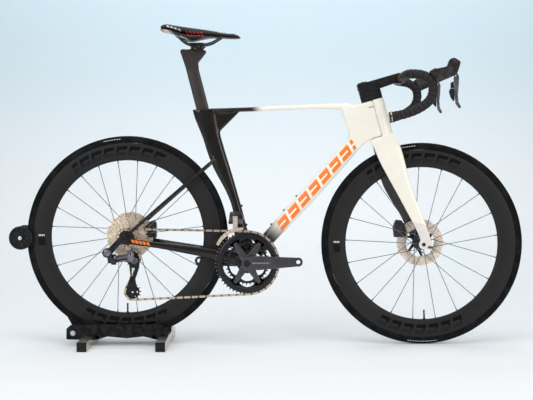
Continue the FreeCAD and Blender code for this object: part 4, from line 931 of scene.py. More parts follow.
def swelled(mesh, cap, firmness=4.0):
    """Blows a closed cover up a little over its foam, and holds each point near where it was cut."""
    holder = bpy.data.objects.new("cover", mesh)
    bpy.context.scene.collection.objects.link(holder)
    rest = np.array([vertex.co for vertex in mesh.vertices])
    cloth = holder.modifiers.new("foam", "CLOTH")
    cloth.settings.use_pressure = True
    cloth.settings.uniform_pressure_force = firmness
    cloth.settings.effector_weights.gravity = 0
    cloth.settings.quality = 5
    cloth.point_cache.frame_start, cloth.point_cache.frame_end = 1, 20
    for step in range(1, 21):
        bpy.context.scene.frame_set(step)
    blown = holder.evaluated_get(bpy.context.evaluated_depsgraph_get())
    after = np.array([vertex.co for vertex in blown.data.vertices])
    bpy.context.scene.frame_set(1)
    holder.modifiers.clear()
    moved = after - rest
    length = np.maximum(np.linalg.norm(moved, axis=1), 1e-9)[:, None]
    rest = rest + moved / length * np.minimum(length, cap)
    mesh.vertices.foreach_set("co", rest.ravel())
    mesh.update()
    bpy.data.objects.remove(holder)
    return mesh


pad = swelled(moulded("pad", ["saddle_pad"], 4.0 * MM, 4, [((-0.250, 0, 1.058), 0.3, 2)]), 1.6 * MM)
padding = as_piece("saddle_padding", pad, cover, 80)
rounding = padding.modifiers.new("rounding", "SUBSURF")
rounding.levels = rounding.render_levels = 1
rounded_pad = bpy.data.meshes.new_from_object(padding.evaluated_get(bpy.context.evaluated_depsgraph_get()))
padding.modifiers.clear()
padding.data = rounded_pad
for vertex in rounded_pad.vertices:
    channel = max(0.0, 1 - abs(vertex.co.y) / 0.011) * max(0.0, min(1.0, (vertex.co.z - 1.047) / 0.012))
    inner = max(0.0, 1 - abs(vertex.co.x + 0.235) / 0.085)
    vertex.co.z -= 4.5 * MM * channel * min(1.0, inner * 1.6)
fix(padding, "saddle", "saddle_cover", "saddle_pad")

# ---- Tyres ----
# Black clincher tyres with a smooth crown and short slanted grooves on both shoulders.
# A few plain pale dashes are printed on the sidewall.

wheels = {"front": front, "rear": rear}


def polar(finish, centre):
    """Angle about a wheel's axle, from forwards and upwards, and distance from it."""
    x, y, z = finish.axes(finish.moved(shift=(-centre.x, 0, -centre.z)))
    angle = finish.sum("ARCTAN2", z, x)
    reach = finish.sum("SQRT", finish.plus(finish.times(x, x), finish.times(z, z)))
    return angle, reach, y


def arc_marks(finish, angle, reach, middle_degrees, spread, radius, half, pitch, share, slant=0.0):
    """Plain bars round part of a wheel."""
    middle = math.radians(middle_degrees)
    wrapped = finish.sum("WRAP", finish.minus(angle, middle), math.pi, -math.pi)
    along = finish.times(wrapped, radius)
    span = math.radians(spread) * radius
    return bars(finish, along, finish.minus(reach, radius), -span, span, half, pitch, share, slant)


for wheel, hub in wheels.items():
    rubber = Finish(wheel + "_tyre_rubber", (0.0060, 0.0056, 0.0057), 0.60, shine=0.05)
    angle, reach, y = polar(rubber, hub)
    dust = rubber.ramp(rubber.speckle(38), 0.35, 0.75)
    grey = rubber.over(dust, rubber.tone, (0.014, 0.0155, 0.0175, 1))
    print_low = arc_marks(rubber, angle, reach, -90, 8.5, 0.3295, 0.0009, 0.0085, 0.62)
    print_high = arc_marks(rubber, angle, reach, 99, 5.0, 0.3295, 0.0009, 0.0085, 0.62)
    prints = rubber.most(print_low, print_high)
    rubber.set("Base Color", rubber.over(prints, grey, (0.75, 0.76, 0.74, 1)))
    rubber.set("Roughness", rubber.ramp(dust, 0, 1, 0.52, 0.70)).grained(1400, 0.10 * MM, 0.4)
    tyre_low, tyre_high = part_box(wheel + "_tyre")
    crown = (tyre_high.z - tyre_low.z) / 2
    section = (tyre_high.y - tyre_low.y) / 2
    middle = crown - section
    arc = [math.radians(-130 + 260 * step / 34) for step in range(35)]
    wall = [math.radians(126 - 252 * step / 10) for step in range(11)]
    shell = bmesh.new()
    rings = []
    steps = 720
    wall_thickness = 2.2 * MM
    for step in range(steps):
        turn = 2 * math.pi * step / steps
        ring = []
        for phi in arc:
            shoulder = math.degrees(abs(phi))
            groove = 0.0
            if 30 < shoulder < 66 and (72 * step / steps + (shoulder - 30) * 0.012 + (0.5 if phi > 0 else 0)) % 1.0 < 0.22:
                groove = 0.7 * MM
            ring.append((phi, section - groove))
        ring += [(phi, section - wall_thickness) for phi in wall]
        ring = [shell.verts.new((hub.x + (middle + r * math.cos(phi)) * math.cos(turn), r * math.sin(phi),
                                 hub.z + (middle + r * math.cos(phi)) * math.sin(turn))) for phi, r in ring]
        rings.append(ring)
    skinned(shell, rings)
    bmesh.ops.recalc_face_normals(shell, faces=shell.faces)
    fix(as_piece(wheel + "_clincher", shell, rubber, 30), wheel + "_wheel", "tyre_rubber", wheel + "_tyre")

# ---- Rims ----
# Deep hollow carbon rims, matt black, with plain gloss bars laid round the top and the bottom.
# The valve stands out of the rim's inner edge through a plain round nut.


def flowing(points, parts=5):
    """A smooth line through the given section points."""
    line = []
    for number in range(len(points) - 1):
        before = Vector(points[max(number - 1, 0)])
        here, after = Vector(points[number]), Vector(points[number + 1])
        beyond = Vector(points[min(number + 2, len(points) - 1)])
        for part in range(parts):
            t = part / parts
            line.append(0.5 * (2 * here + (after - before) * t + (2 * before - 5 * here + 4 * after - beyond) * t * t
                               + (3 * here - before - 3 * after + beyond) * t ** 3))
    return [tuple(point) for point in line] + [tuple(points[-1])]


valve_turns = {"front": math.radians(-88), "rear": math.radians(-90)}
for wheel, hub in wheels.items():
    rim_carbon = Finish(wheel + "_rim_carbon", (0.0150, 0.0138, 0.0140), 0.50, shine=0.25)
    angle, reach, y = polar(rim_carbon, hub)
    half_band = 0.0165
    shapes, cut_out = [rim_carbon.most(*[arc_marks(rim_carbon, angle, reach, *place, 0.2890, half, 0.043, share,
                                                   0.30)
                                         for place in ((97, 32), (-90, 30))])
                       for half, share in ((half_band, 0.80), (0.004, 0.58))]
    block = arc_marks(rim_carbon, angle, reach, 183.2, 2.6, 0.2880, 0.012, 1.0, 0.95)
    shapes = rim_carbon.most(rim_carbon.times(shapes, rim_carbon.minus(1.0, cut_out)), block)
    pale = arc_marks(rim_carbon, angle, reach, 179.0, 0.55, 0.2880, 0.0100, 1.0, 0.95)
    stripes = rim_carbon.below(rim_carbon.part(rim_carbon.times(reach, 190.0)), 0.62)
    pale = rim_carbon.times(pale, stripes)
    cloth = rim_carbon.ramp(rim_carbon.speckle(55), 0.3, 0.7)
    matt = rim_carbon.over(cloth, rim_carbon.tone, (0.015, 0.0138, 0.0135, 1))
    tone = rim_carbon.over(shapes, matt, (0.004, 0.004, 0.0045, 1))
    rim_carbon.set("Base Color", rim_carbon.over(pale, tone, (0.80, 0.80, 0.80, 1)))
    soft_sheen = rim_carbon.ramp(cloth, 0, 1, 0.44, 0.54)
    rim_carbon.set("Roughness", rim_carbon.times(soft_sheen, rim_carbon.ramp(shapes, 0, 1, 1.0, 0.28)))
    rim_carbon.raised(rim_carbon.plus(shapes, rim_carbon.times(rim_carbon.speckle(1100), 0.12)), 0.12 * MM, 0.5)
    flank = flowing([(257.0, 2.0), (258.2, 4.2), (262, 7.0), (272, 10.5), (286, 13.0), (298, 13.5), (309, 13.0),
                     (315.6, 12.3)], 4)
    hook = [(316.2, 11.8), (316.2, 10.4), (315.2, 10.0), (313.4, 10.3), (311.5, 8.6), (309.0, 4.0)]
    half = in_mm(flank + hook)
    rim_section = half + [(r, -d) for r, d in reversed(half)]
    fix(as_piece(wheel + "_deep_rim", turned(rim_section, hub, 288), rim_carbon, 40),
        wheel + "_wheel", "rim_carbon", wheel + "_rim")
    outward = Vector((math.cos(valve_turns[wheel]), 0, math.sin(valve_turns[wheel])))
    foot = hub + outward * 258 * MM
    line = [foot - outward * reach * MM for reach in (-2, 1.0, 1.01, 3.4, 3.41, 21, 21.6, 24, 24.01, 32.2,
                                                      32.6)]
    stem_r = (3, 3, 5.2, 5.2, 2.9, 2.9, 2.4, 2.2, 2.9, 2.9, 2.0)
    fix(as_piece(wheel + "_valve", sleeve(line, lambda number, turn: stem_r[number] * MM, 20), black_alloy),
        wheel + "_wheel", "dark_alloy")

# ---- Spokes ----
# Flat bladed steel spokes, blackened, with a long tangential side and a straight-pull side at each hub.
# A short alloy nipple draws each one tight at the rim.


def spoke_drawing():
    """Draws a flat blade along every line between a hub and a rim."""
    tree = bpy.data.node_groups.new("spoke_drawing", "GeometryNodeTree")
    for name, kind in (("Lines", "Geometry"), ("Width", "Float"), ("Thickness", "Float"),
                       ("Finish", "Material")):
        tree.interface.new_socket(name, in_out="INPUT", socket_type="NodeSocket" + kind)
    tree.interface.new_socket("Spokes", in_out="OUTPUT", socket_type="NodeSocketGeometry")
    given = tree.nodes.new("NodeGroupInput")
    made = tree.nodes.new("NodeGroupOutput")
    lines = tree.nodes.new("GeometryNodeMeshToCurve")
    even = tree.nodes.new("GeometryNodeResampleCurve")
    even.inputs["Count"].default_value = 9
    upright = tree.nodes.new("GeometryNodeSetCurveNormal")
    upright.mode = "FREE"
    upright.inputs["Normal"].default_value = (0, 1, 0)
    ring = tree.nodes.new("GeometryNodeCurvePrimitiveCircle")
    ring.inputs["Resolution"].default_value = 8
    flat = tree.nodes.new("GeometryNodeTransform")
    size = tree.nodes.new("ShaderNodeCombineXYZ")
    size.inputs["Z"].default_value = 1
    body = tree.nodes.new("GeometryNodeCurveToMesh")
    body.inputs["Fill Caps"].default_value = True
    real = tree.nodes.new("GeometryNodeRealizeInstances")
    coat = tree.nodes.new("GeometryNodeSetMaterial")
    for start, end in ((given.outputs["Lines"], lines.inputs[0]), (lines.outputs[0], even.inputs["Curve"]),
                       (even.outputs[0], upright.inputs["Curve"]), (upright.outputs[0], body.inputs["Curve"]),
                       (given.outputs["Width"], size.inputs["Y"]),
                       (given.outputs["Thickness"], size.inputs["X"]),
                       (size.outputs[0], flat.inputs["Scale"]),
                       (ring.outputs["Curve"], flat.inputs["Geometry"]),
                       (flat.outputs[0], body.inputs["Profile Curve"]), (body.outputs[0], real.inputs[0]),
                       (real.outputs[0], coat.inputs["Geometry"]),
                       (given.outputs["Finish"], coat.inputs["Material"]),
                       (coat.outputs[0], made.inputs[0])):
        tree.links.new(start, end)
    return tree


spoke_steel = Finish("spoke_steel", (0.13, 0.16, 0.17), 0.30, metal=0.9)
spoke_steel.mottled((0.14, 0.16, 0.17), 35, 0.08).grained(1500, 0.03 * MM, 0.3)
drawing = spoke_drawing()
lacing = {"front": (21, 79.5, (19.2, -30), (21.2, 21)), "rear": (24, 82.5, (19.2, 35), (26.2, -16))}
rim_inside = 257.0
for wheel, hub in wheels.items():
    count, first, straight, crossed = lacing[wheel]
    swing = math.acos(crossed[0] / rim_inside)
    step_out = math.copysign(1.6, crossed[1])
    ends = []
    nipples = []
    for number in range(count):
        turn = math.radians(first) + 2 * math.pi * number / count
        kind = number % 3
        hub_turn = turn + (0, swing, -swing)[kind]
        flange_r, flange_y = straight if kind == 0 else (crossed[0], crossed[1] + (0, -1, 1)[kind] * step_out)
        inner = hub + Vector((flange_r * math.cos(hub_turn), flange_y, -flange_r * math.sin(hub_turn))) * MM
        outer = hub + Vector((math.cos(turn), 0, -math.sin(turn))) * (rim_inside + 1) * MM
        ends += [inner, outer]
        line = (inner - outer).normalized()
        nipples.append(facing(outer, line))
    lines = bpy.data.meshes.new(wheel + "_lines")
    lines.from_pydata(ends, [(2 * number, 2 * number + 1) for number in range(count)], [])
    spokes = grown(wheel + "_blades", lines, drawing, 60, Width=1.15 * MM, Thickness=0.5 * MM,
                   Finish=spoke_steel.material)
    fix(spokes, wheel + "_wheel", "bare_steel", wheel + "_spokes")
    nipple = bmesh.new()
    bmesh.ops.create_cone(nipple, cap_ends=True, segments=10, radius1=2.1 * MM, radius2=1.5 * MM, depth=9 * MM,
                          matrix=Matrix.Translation((0, 0, 4.2 * MM)))
    fix(set_out(wheel + "_nipples", nipple, nipples, black_alloy), wheel + "_wheel", "dark_alloy")

# ---- Hubs ----
# Turned alloy hub shells, anodised black, with a flange at each side for the spokes.
# The left end carries the brake rotor, and the rear hub leaves room for the cassette on the right.

hub_sections = {
    "front": [(6.2, -48.4), (9.3, -48.4), (9.5, -47.8), (9.5, -41), (11, -39), (13.4, -36), (18.4, -33.2),
              (19.2, -32.2),
              (19.2, -27.8), (18.4, -26.8), (12.6, -22.4), (11.4, -18), (11.2, 0), (11.6, 8), (14, 11.4),
              (19, 14.6),
              (20.2, 15.6), (20.2, 26.4), (19.2, 27.4), (15, 30), (15, 32), (17, 34), (17, 40.6), (9.5, 43),
              (9.5, 48),
              (9.3, 48.4), (6.2, 48.4)],
    "rear": [(6.2, -21), (12.8, -21), (24.4, -20), (25.2, -19.2), (25.2, -12.8), (24.4, -12), (16, -8.6),
             (13.8, -4),
             (13.4, 10), (13.8, 26), (15, 29), (18.6, 31.8), (19.2, 32.6), (19.2, 37.4), (18.6, 38.2), (15, 41),
             (15, 48),
             (17, 50), (17, 59.6), (9.5, 62), (9.5, 69), (9.3, 69.4), (6.2, 69.4)]}
for wheel, hub in wheels.items():
    fix(as_piece(wheel + "_hub_shell", turned(in_mm(hub_sections[wheel]), hub, 72), black_alloy, 30),
        wheel + "_wheel", "ring_alloy", wheel + "_hub")

# ---- Brake rotors ----
# Steel braking rings, drilled and waved at the edge, each on a black alloy carrier.
# Six slanted arms join the carrier's middle ring to the braking ring.

rotor_steel = Finish("rotor_steel", (0.92, 0.78, 0.66), 0.34, metal=0.85)
rotor_steel.mottled((0.70, 0.57, 0.45), 45, 0.07).grained(1200, 0.04 * MM, 0.35)
for wheel, hub in wheels.items():
    low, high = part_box(wheel + "_rotor")
    y = (low.y + high.y) / 2
    size_r = (high.z - low.z) / 2
    rim_line = []
    for step in range(240):
        turn = 2 * math.pi * step / 240
        r = size_r - 1.0 * MM * (0.5 - 0.5 * math.cos(12 * turn)) ** 3
        rim_line.append((hub.x + r * math.cos(turn), hub.z + r * math.sin(turn)))
    holes = []
    bore = []
    for step in range(240):
        turn = 2 * math.pi * step / 240
        r = 48.0 * MM - 1.6 * MM * math.cos(6 * turn + 1.2)
        bore.append((hub.x + r * math.cos(turn), hub.z + r * math.sin(turn)))
    holes.append(bore)
    for step in range(36):
        turn = 2 * math.pi * step / 36
        for number, r in enumerate((63.5, 68.5, 73.5)):
            lean = turn + number * 0.055
            spot = spoke_end(hub, lean, r * MM)
            if (step + number) % 4 != 3:
                holes.append(ring_of(spot, 1.5 * MM, 8))
    ring = cut_plate([rim_line] + holes, y - 0.9 * MM, y + 0.9 * MM, 0.15 * MM)
    carrier = []
    for arm in range(6):
        turn = math.radians(60 * arm + 15)
        lean = math.radians(60 * arm + 38)
        near_point = Vector((math.cos(turn), 0, math.sin(turn))) * 22 * MM + hub
        far_point = Vector((math.cos(lean), 0, math.sin(lean))) * 51 * MM + hub
        across = Vector((near_point.z - far_point.z, 0, far_point.x - near_point.x)).normalized()
        corners = [near_point + across * 6 * MM, far_point + across * 3.2 * MM, far_point - across * 3.2 * MM,
                   near_point - across * 6 * MM]
        carrier.append(cut_plate([eased([(p.x, p.z) for p in corners], 2 * MM)], y - 0.8 * MM, y + 0.8 * MM,
                                 0.3 * MM))
    centre_line = ring_of(hub, 27 * MM, 64)
    carrier.append(cut_plate([centre_line, ring_of(hub, 17.2 * MM, 48)], y - 1.5 * MM, y + 1.5 * MM, 0.4 * MM))
    fix(as_piece(wheel + "_braking_ring", ring, rotor_steel, 30), wheel + "_wheel", "warm_steel",
        wheel + "_rotor")
    fix(as_piece(wheel + "_rotor_carrier", joined(*carrier), black_alloy, 30), wheel + "_wheel", "dark_alloy")

# ---- Brake calipers ----
# Forged two-piston calipers, flat-mounted on the left chainstay and the left fork blade.
# Two bolt heads show at each side of the casting.

caliper_paint = Finish("caliper_paint", (0.030, 0.026, 0.030), 0.28, metal=0.4, coat=0.3)
caliper_paint.mottled((0.052, 0.046, 0.054), 90, 0.08).grained(900, 0.06 * MM, 0.3)
for wheel, body in (("front", "steering"), ("rear", "bike_frame")):
    node = wheel + "_brake_caliper"
    low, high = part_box(node)
    casting = moulded("caliper", [node], 0.9 * MM, 8, [(tuple((low + high) / 2), 0.06, 8)])
    fix(as_piece(wheel + "_caliper", casting, caliper_paint, 60), body, "dark_alloy", node)
    middle = (low + high) / 2
    places = [facing((middle.x + dx * MM, low.y + 0.4 * MM, middle.z + dz * MM), (0, -1, 0)) for dx,
              dz in ((-8, 10), (6, -12))]
    places += [facing((middle.x + dx * MM, high.y - 0.4 * MM, middle.z + dz * MM), (0, 1, 0)) for dx,
               dz in ((-6, 8), (6, -8))]
    fix(set_out(wheel + "_caliper_bolts", button_head(4.0 * MM, 1.8 * MM), places, black_alloy), body,
        "bare_steel")

# ---- Cassette ----
# Twelve stamped steel sprockets, the largest inboard, each with its lightening windows and cut teeth.
# A plain turned lockring holds them at the outer end.


def toothed(centre, teeth, tip, root, phase, width=0.42):
    """The outline of a chain wheel, one of whose gaps stands at the given angle."""
    line = []
    for tooth in range(teeth):
        for share, r in ((0.5 - width / 2, root), (0.5 - width / 5, tip - 0.3 * MM), (0.5, tip),
                         (0.5 + width / 5, tip - 0.3 * MM), (0.5 + width / 2, root), (1.0, root - 0.4 * MM)):
            turn = phase + 2 * math.pi * (tooth + share) / teeth
            line.append((centre.x + r * math.cos(turn), centre.z + r * math.sin(turn)))
    return line


chain_pitch = 12.7 * MM


def pitch_radius(teeth):
    return chain_pitch / (2 * math.sin(math.pi / teeth))


def window(centre, inner, outer, start, end, ease=1.0 * MM):
    """An opening between two radii and two angles."""
    steps = 6
    low = [(centre.x + inner * math.cos(start + (end - start) * s / steps),
            centre.z + inner * math.sin(start + (end - start) * s / steps))
           for s in range(steps + 1)]
    high = [(centre.x + outer * math.cos(end + (start - end) * s / steps),
             centre.z + outer * math.sin(end + (start - end) * s / steps))
            for s in range(steps + 1)]
    return eased(low + high, ease, 2)


guide = at_joint("guide_pulley_spin")
tension = at_joint("tension_pulley_spin")
ring_teeth, cog_teeth, pulley_teeth = 52, 14, 13
ring_y, cog_y = -48.0 * MM, -51.4 * MM


def tangent(centre_a, radius_a, centre_b, radius_b):
    """Where the chain leaves one wheel and meets the next; a negative radius runs under its wheel."""
    between = centre_b - centre_a
    angle = math.atan2(between.z, between.x) - math.asin((radius_a - radius_b) / between.length)
    normal = Vector((-math.sin(angle), 0, math.cos(angle)))
    return centre_a + normal * radius_a, centre_b + normal * radius_b


chain_wheels = [(guide, -pitch_radius(pulley_teeth), cog_y), (rear, pitch_radius(cog_teeth), cog_y),
                (bracket, pitch_radius(ring_teeth), ring_y), (tension, pitch_radius(pulley_teeth), cog_y)]
chain_names = ["guide", "cog", "ring", "tension"]
corner_points = []
for number, (centre, radius, across) in enumerate(chain_wheels):
    after = chain_wheels[(number + 1) % 4]
    corner_points.append(tangent(centre, radius, after[0], after[1]))
chain_line = []
for number, (centre, radius, across) in enumerate(chain_wheels):
    arrive = corner_points[number - 1][1] - centre
    leave = corner_points[number][0] - centre
    first = math.atan2(arrive.z, arrive.x)
    last = math.atan2(leave.z, leave.x)
    sweep = (first - last) % (2 * math.pi) if radius > 0 else -((last - first) % (2 * math.pi))
    steps = max(4, int(abs(sweep) * abs(radius) / (0.6 * MM)))
    for step in range(steps):
        turn = first - sweep * step / steps
        point = spoke_end(centre, turn, abs(radius))
        chain_line.append((Vector((point.x, across, point.z)), chain_names[number]))
    start, end = corner_points[number]
    next_across = chain_wheels[(number + 1) % 4][2]
    steps = int((end - start).length / (0.6 * MM))
    name = "run_" + chain_names[number]
    for step in range(steps):
        t = step / steps
        point = start.lerp(end, t)
        chain_line.append((Vector((point.x, across + (next_across - across) * t, point.z)), name))
total = sum((chain_line[(i + 1) % len(chain_line)][0] - chain_line[i][0]).length for i in range(len(chain_line)))
pins_count = 2 * round(total / (2 * chain_pitch))
stride = total / pins_count
pins = []
travelled = 0.0
for i in range(len(chain_line)):
    here, name = chain_line[i]
    gap = (chain_line[(i + 1) % len(chain_line)][0] - here).length
    while len(pins) * stride <= travelled + 1e-9 and len(pins) < pins_count:
        pins.append((here, name))
    travelled += gap


def gap_phase(name, centre):
    """The angle of one chain roller on a wheel, where that wheel has a gap between teeth."""
    seated = [place for place, where in pins if where == name]
    middle = seated[len(seated) // 2]
    return math.atan2(middle.z - centre.z, middle.x - centre.x)


sprocket_steel = Finish("sprocket_steel", (1.0, 0.84, 0.67), 0.36, metal=0.85)
sprocket_steel.mottled((0.66, 0.53, 0.40), 160, 0.07).grained(1800, 0.03 * MM, 0.3)
cogs = [11, 12, 13, 14, 15, 17, 19, 21, 24, 27, 30, 34]
sprockets = []
for number, teeth in enumerate(cogs):
    y = (-61.9 + 3.5 * number) * MM
    radius = pitch_radius(teeth)
    phase = gap_phase("cog", rear) if teeth == cog_teeth else 0.13 * number
    outline = toothed(rear, teeth, radius + 2.6 * MM, radius - 3.6 * MM, phase)
    holes = [ring_of(rear, 16.9 * MM, 36)]
    if radius > 36 * MM:
        arms = 6
        for arm in range(arms):
            start = 2 * math.pi * arm / arms + 0.1 * number
            holes.append(window(rear, 21 * MM, radius - 9 * MM, start + 0.14, start + 2 * math.pi / arms - 0.14,
                                3 * MM))
        for hole in range(teeth // 2):
            turn = 4 * math.pi * hole / teeth + phase
            spot = spoke_end(rear, turn, radius - 6.2 * MM)
            holes.append(ring_of(spot, 1.1 * MM, 7))
    sprockets.append(cut_plate([outline] + holes, y - 0.75 * MM, y + 0.75 * MM, 0.12 * MM))
    if number:
        spacer = [(16.9, y / MM - 2.7), (19.5, y / MM - 2.7), (19.5, y / MM - 0.7), (16.9, y / MM - 0.7)]
        sprockets.append(turned(in_mm(spacer), rear, 48))
fix(as_piece("sprockets", joined(*sprockets), sprocket_steel, 30), "cassette", "warm_steel", "cassette")
lockring = in_mm([(9.8, -64.6), (10.6, -65), (15.6, -65), (16.4, -64.4), (16.6, -62.8), (16.6, -40), (6.6, -40),
                  (6.6, -60),
                  (9.2, -61)])
fix(as_piece("lockring", turned(lockring, rear, 48), black_alloy, 30), "cassette", "dark_alloy")

# ---- Chain ----
# A narrow roller chain with pitch 12.7 mm, nickel-plated: pairs of inner plates on their rollers
# alternate with pairs of outer plates on their pins.

chain_plate = Finish("chain_nickel", (0.74, 0.62, 0.48), 0.27, metal=0.95)
chain_plate.mottled((0.58, 0.48, 0.37), 420, 0.08).grained(2200, 0.03 * MM, 0.3)
inner_plate = Finish("chain_inner_steel", (0.20, 0.155, 0.115), 0.34, metal=0.95)
inner_plate.mottled((0.13, 0.10, 0.075), 420, 0.08).grained(2200, 0.03 * MM, 0.3)


def link_pair(gap, thick, roller_r, roller_half):
    """Two plates with rounded ends and waists, and what joins them at both pins."""
    half = chain_pitch / 2
    outline = []
    for end in (1, -1):
        for step in range(7):
            turn = math.radians(-90 + 180 * step / 6) + (0 if end > 0 else math.pi)
            outline.append((end * half + 3.9 * MM * math.cos(turn), 3.9 * MM * math.sin(turn)))
        outline.append((0, end * 2.9 * MM))
    shells = []
    for side in (-1, 1):
        low = side * gap if side > 0 else -gap - thick
        plate = bmesh.new()
        front_row = [plate.verts.new((px, low, pz)) for px, pz in outline]
        back_row = [plate.verts.new((px, low + thick, pz)) for px, pz in outline]
        plate.faces.new(front_row)
        plate.faces.new(list(reversed(back_row)))
        for number in range(len(outline)):
            following = (number + 1) % len(outline)
            plate.faces.new((front_row[number], back_row[number], back_row[following], front_row[following]))
        bmesh.ops.recalc_face_normals(plate, faces=plate.faces)
        shells.append(plate)
    for end in (-1, 1):
        pin = bmesh.new()
        turn = Matrix.Translation((end * half, 0, 0)) @ Matrix.Rotation(math.pi / 2, 4, "X")
        bmesh.ops.create_cone(pin, cap_ends=True, segments=8, radius1=roller_r, radius2=roller_r,
                              depth=2 * roller_half, matrix=turn)
        shells.append(pin)
    return joined(*shells)


def chain_places(names, parity):
    places = []
    for number in range(pins_count):
        here, where = pins[number]
        ahead = pins[(number + 1) % pins_count][0]
        if number % 2 != parity or where not in names:
            continue
        line = ahead - here
        pitch = -math.atan2(line.z, math.hypot(line.x, line.y))
        heading = math.atan2(line.y, line.x)
        places.append(((here + ahead) / 2, (0, pitch, heading), (line.length / chain_pitch, 1, 1)))
    return places


for piece, body, names, node in (
        ("chain_over_ring", "bike_frame", ("run_guide", "cog", "run_cog", "ring"), "chain_upper"),
        ("chain_return_run", "bike_frame", ("run_ring",), "chain_lower"),
        ("chain_round_pulleys", "derailleur_cage", ("tension", "run_tension", "guide"), "chain_pulley_wrap")):
    inner = set_out(piece + "_inner", link_pair(1.15 * MM, 0.5 * MM, 3.5 * MM, 1.1 * MM),
                    chain_places(names, 0), inner_plate)
    outer = set_out(piece + "_outer", link_pair(1.75 * MM, 0.5 * MM, 1.6 * MM, 2.45 * MM),
                    chain_places(names, 1), chain_plate)
    fix(inner, body, "warm_steel", node)
    fix(outer, body, "warm_steel")

# ---- Chainrings ----
# Two machined alloy rings, black, on a four-armed spider: 52 teeth outside and 36 inside.
# The big ring's face is dished and its edge keeps a bright line where the chain has rubbed.

ring_alloy = Finish("ring_alloy", (0.014, 0.0135, 0.015), 0.28, metal=0.55)
angle, reach, _ = polar(ring_alloy, bracket)
rubbed = ring_alloy.ramp(reach, 0.1030, 0.1062)
ring_tone = ring_alloy.blend(300, ring_alloy.tone, (0.026, 0.025, 0.028, 1))
ring_alloy.set("Base Color", ring_alloy.over(rubbed, ring_tone, (0.30, 0.27, 0.24, 1)))
ring_alloy.sheen(120, 0.22, 0.36).grained(1400, 0.04 * MM, 0.3)
big_r, small_r = pitch_radius(52), pitch_radius(36)
big_outline = toothed(bracket, 52, big_r + 2.4 * MM, big_r - 3.7 * MM, gap_phase("ring", bracket), 0.40)


arm_degrees = (58, 122, 238, 302)


def scalloped(base, deep, sharp):
    """A bore that reaches inwards at the four arms."""
    line = []
    for step in range(240):
        turn = 2 * math.pi * step / 240
        nearest = min(abs((math.degrees(turn) - at + 180) % 360 - 180) for at in arm_degrees)
        r = (base - deep * math.exp(-(nearest / sharp) ** 2)) * MM
        line.append((bracket.x + r * math.cos(turn), bracket.z + r * math.sin(turn)))
    return line


rings = [cut_plate([big_outline, scalloped(82.0, 13.0, 20.0)], ring_y - 1.0 * MM, ring_y + 1.0 * MM, 0.2 * MM)]
dish = in_mm([(83, -49.0), (86, -51.2), (92, -51.6), (98.5, -50.6), (100.5, -49.0), (96, -48.6)])
rings.append(turned(dish, bracket, 144))
small_outline = toothed(bracket, 36, small_r + 2.4 * MM, small_r - 3.7 * MM, 0.05, 0.40)
rings.append(cut_plate([small_outline, scalloped(61.5, 9.0, 14.0)], -42.2 * MM, -40.2 * MM, 0.2 * MM))
for degrees in arm_degrees:
    turn = math.radians(degrees)
    spot = spoke_end(bracket, turn, 55 * MM)
    rings.append(turned(in_mm([(0, -47), (6, -47), (6, -42), (0, -42)]), spot, 20))
    root = spoke_end(bracket, turn, 48 * MM)
    tip = spoke_end(bracket, turn, 84 * MM)
    across = Vector((-math.sin(turn), 0, math.cos(turn)))
    corners = [root + across * 7 * MM, tip + across * 20 * MM, tip - across * 20 * MM, root - across * 7 * MM]
    rings.append(cut_plate([eased([(p.x, p.z) for p in corners], 5 * MM)], -49.0 * MM, -47.0 * MM, 0.4 * MM))
fix(as_piece("chain_rings", joined(*rings), ring_alloy, 32), "crankset", "ring_alloy", "chainrings")
bolt_spots = []
for degrees in arm_degrees:
    turn = math.radians(degrees)
    spot = spoke_end(bracket, turn, 74 * MM)
    bolt_spots.append(facing((spot.x, -49.2 * MM, spot.z), (0, -1, 0)))
    bolt_spots.append(facing((spot.x, -46.8 * MM, spot.z), (0, 1, 0)))
fix(set_out("ring_bolts", button_head(4.2 * MM, 1.6 * MM), bolt_spots, black_alloy), "crankset", "bare_steel")

# ---- Cranks ----
# Hollow-forged alloy arms with a spider of four broad arms, anodised graphite with a violet cast.
# The pedal eyes are left empty, and a row of plain light dashes is printed on the arm.

crank_alloy = Finish("crank_alloy", (0.075, 0.068, 0.074), 0.30, metal=0.75)
x, y, z = crank_alloy.axes()
printed = bars(crank_alloy, x, crank_alloy.minus(z, bracket.z + 0.0012), bracket.x + 0.018, bracket.x + 0.074,
               0.0021, 0.0078, 0.66, 0.25)
printed = crank_alloy.times(printed, crank_alloy.below(y, -0.0705))
crank_tone = crank_alloy.blend(35, crank_alloy.tone, (0.10, 0.092, 0.10, 1))
crank_alloy.set("Base Color", crank_alloy.over(printed, crank_tone, (0.42, 0.40, 0.42, 1)))
crank_alloy.sheen(90, 0.24, 0.36).grained(1000, 0.04 * MM, 0.25)
for node, slot_name in (("right_crank", "right"), ("left_crank", "left")):
    casting = moulded("crank", [node], 1.15 * MM, 10, [((bracket.x, -0.055, bracket.z), 0.055, 10)])
    fix(as_piece(slot_name + "_crank_arm", casting, crank_alloy, 60), "crankset", "dark_alloy", node)
crank_length = 170 * MM
crank_lift = math.radians(1.5)
eyes = []
for side in (-1, 1):
    eye = spoke_end(bracket, crank_lift, -crank_length * side)
    eyes.append(turned([(r, side * d) for r,
                        d in in_mm([(7.0, 60.1), (8.6, 60.1), (8.8, 60.6), (8.8, 72.6), (8.5, 73.0),
                                                         (7.4, 73.0), (7.0, 72.5)])], eye, 40))
fix(as_piece("pedal_eyes", joined(*eyes), satin_black, 30), "crankset", "bare_steel")
axle_caps = [turned(in_mm([(0, -73.4), (7, -73.4), (10.5, -73.1), (11.2, -72.4), (11.2, -71.5), (0, -71.5)]),
                    bracket, 40),
             turned(in_mm([(0, 74), (8, 74), (11, 73.4), (11.8, 72), (11.8, 71), (0, 71)]), bracket, 40)]
fix(as_piece("axle_caps", joined(*axle_caps), satin_black, 30), "crankset", "black_plastic")

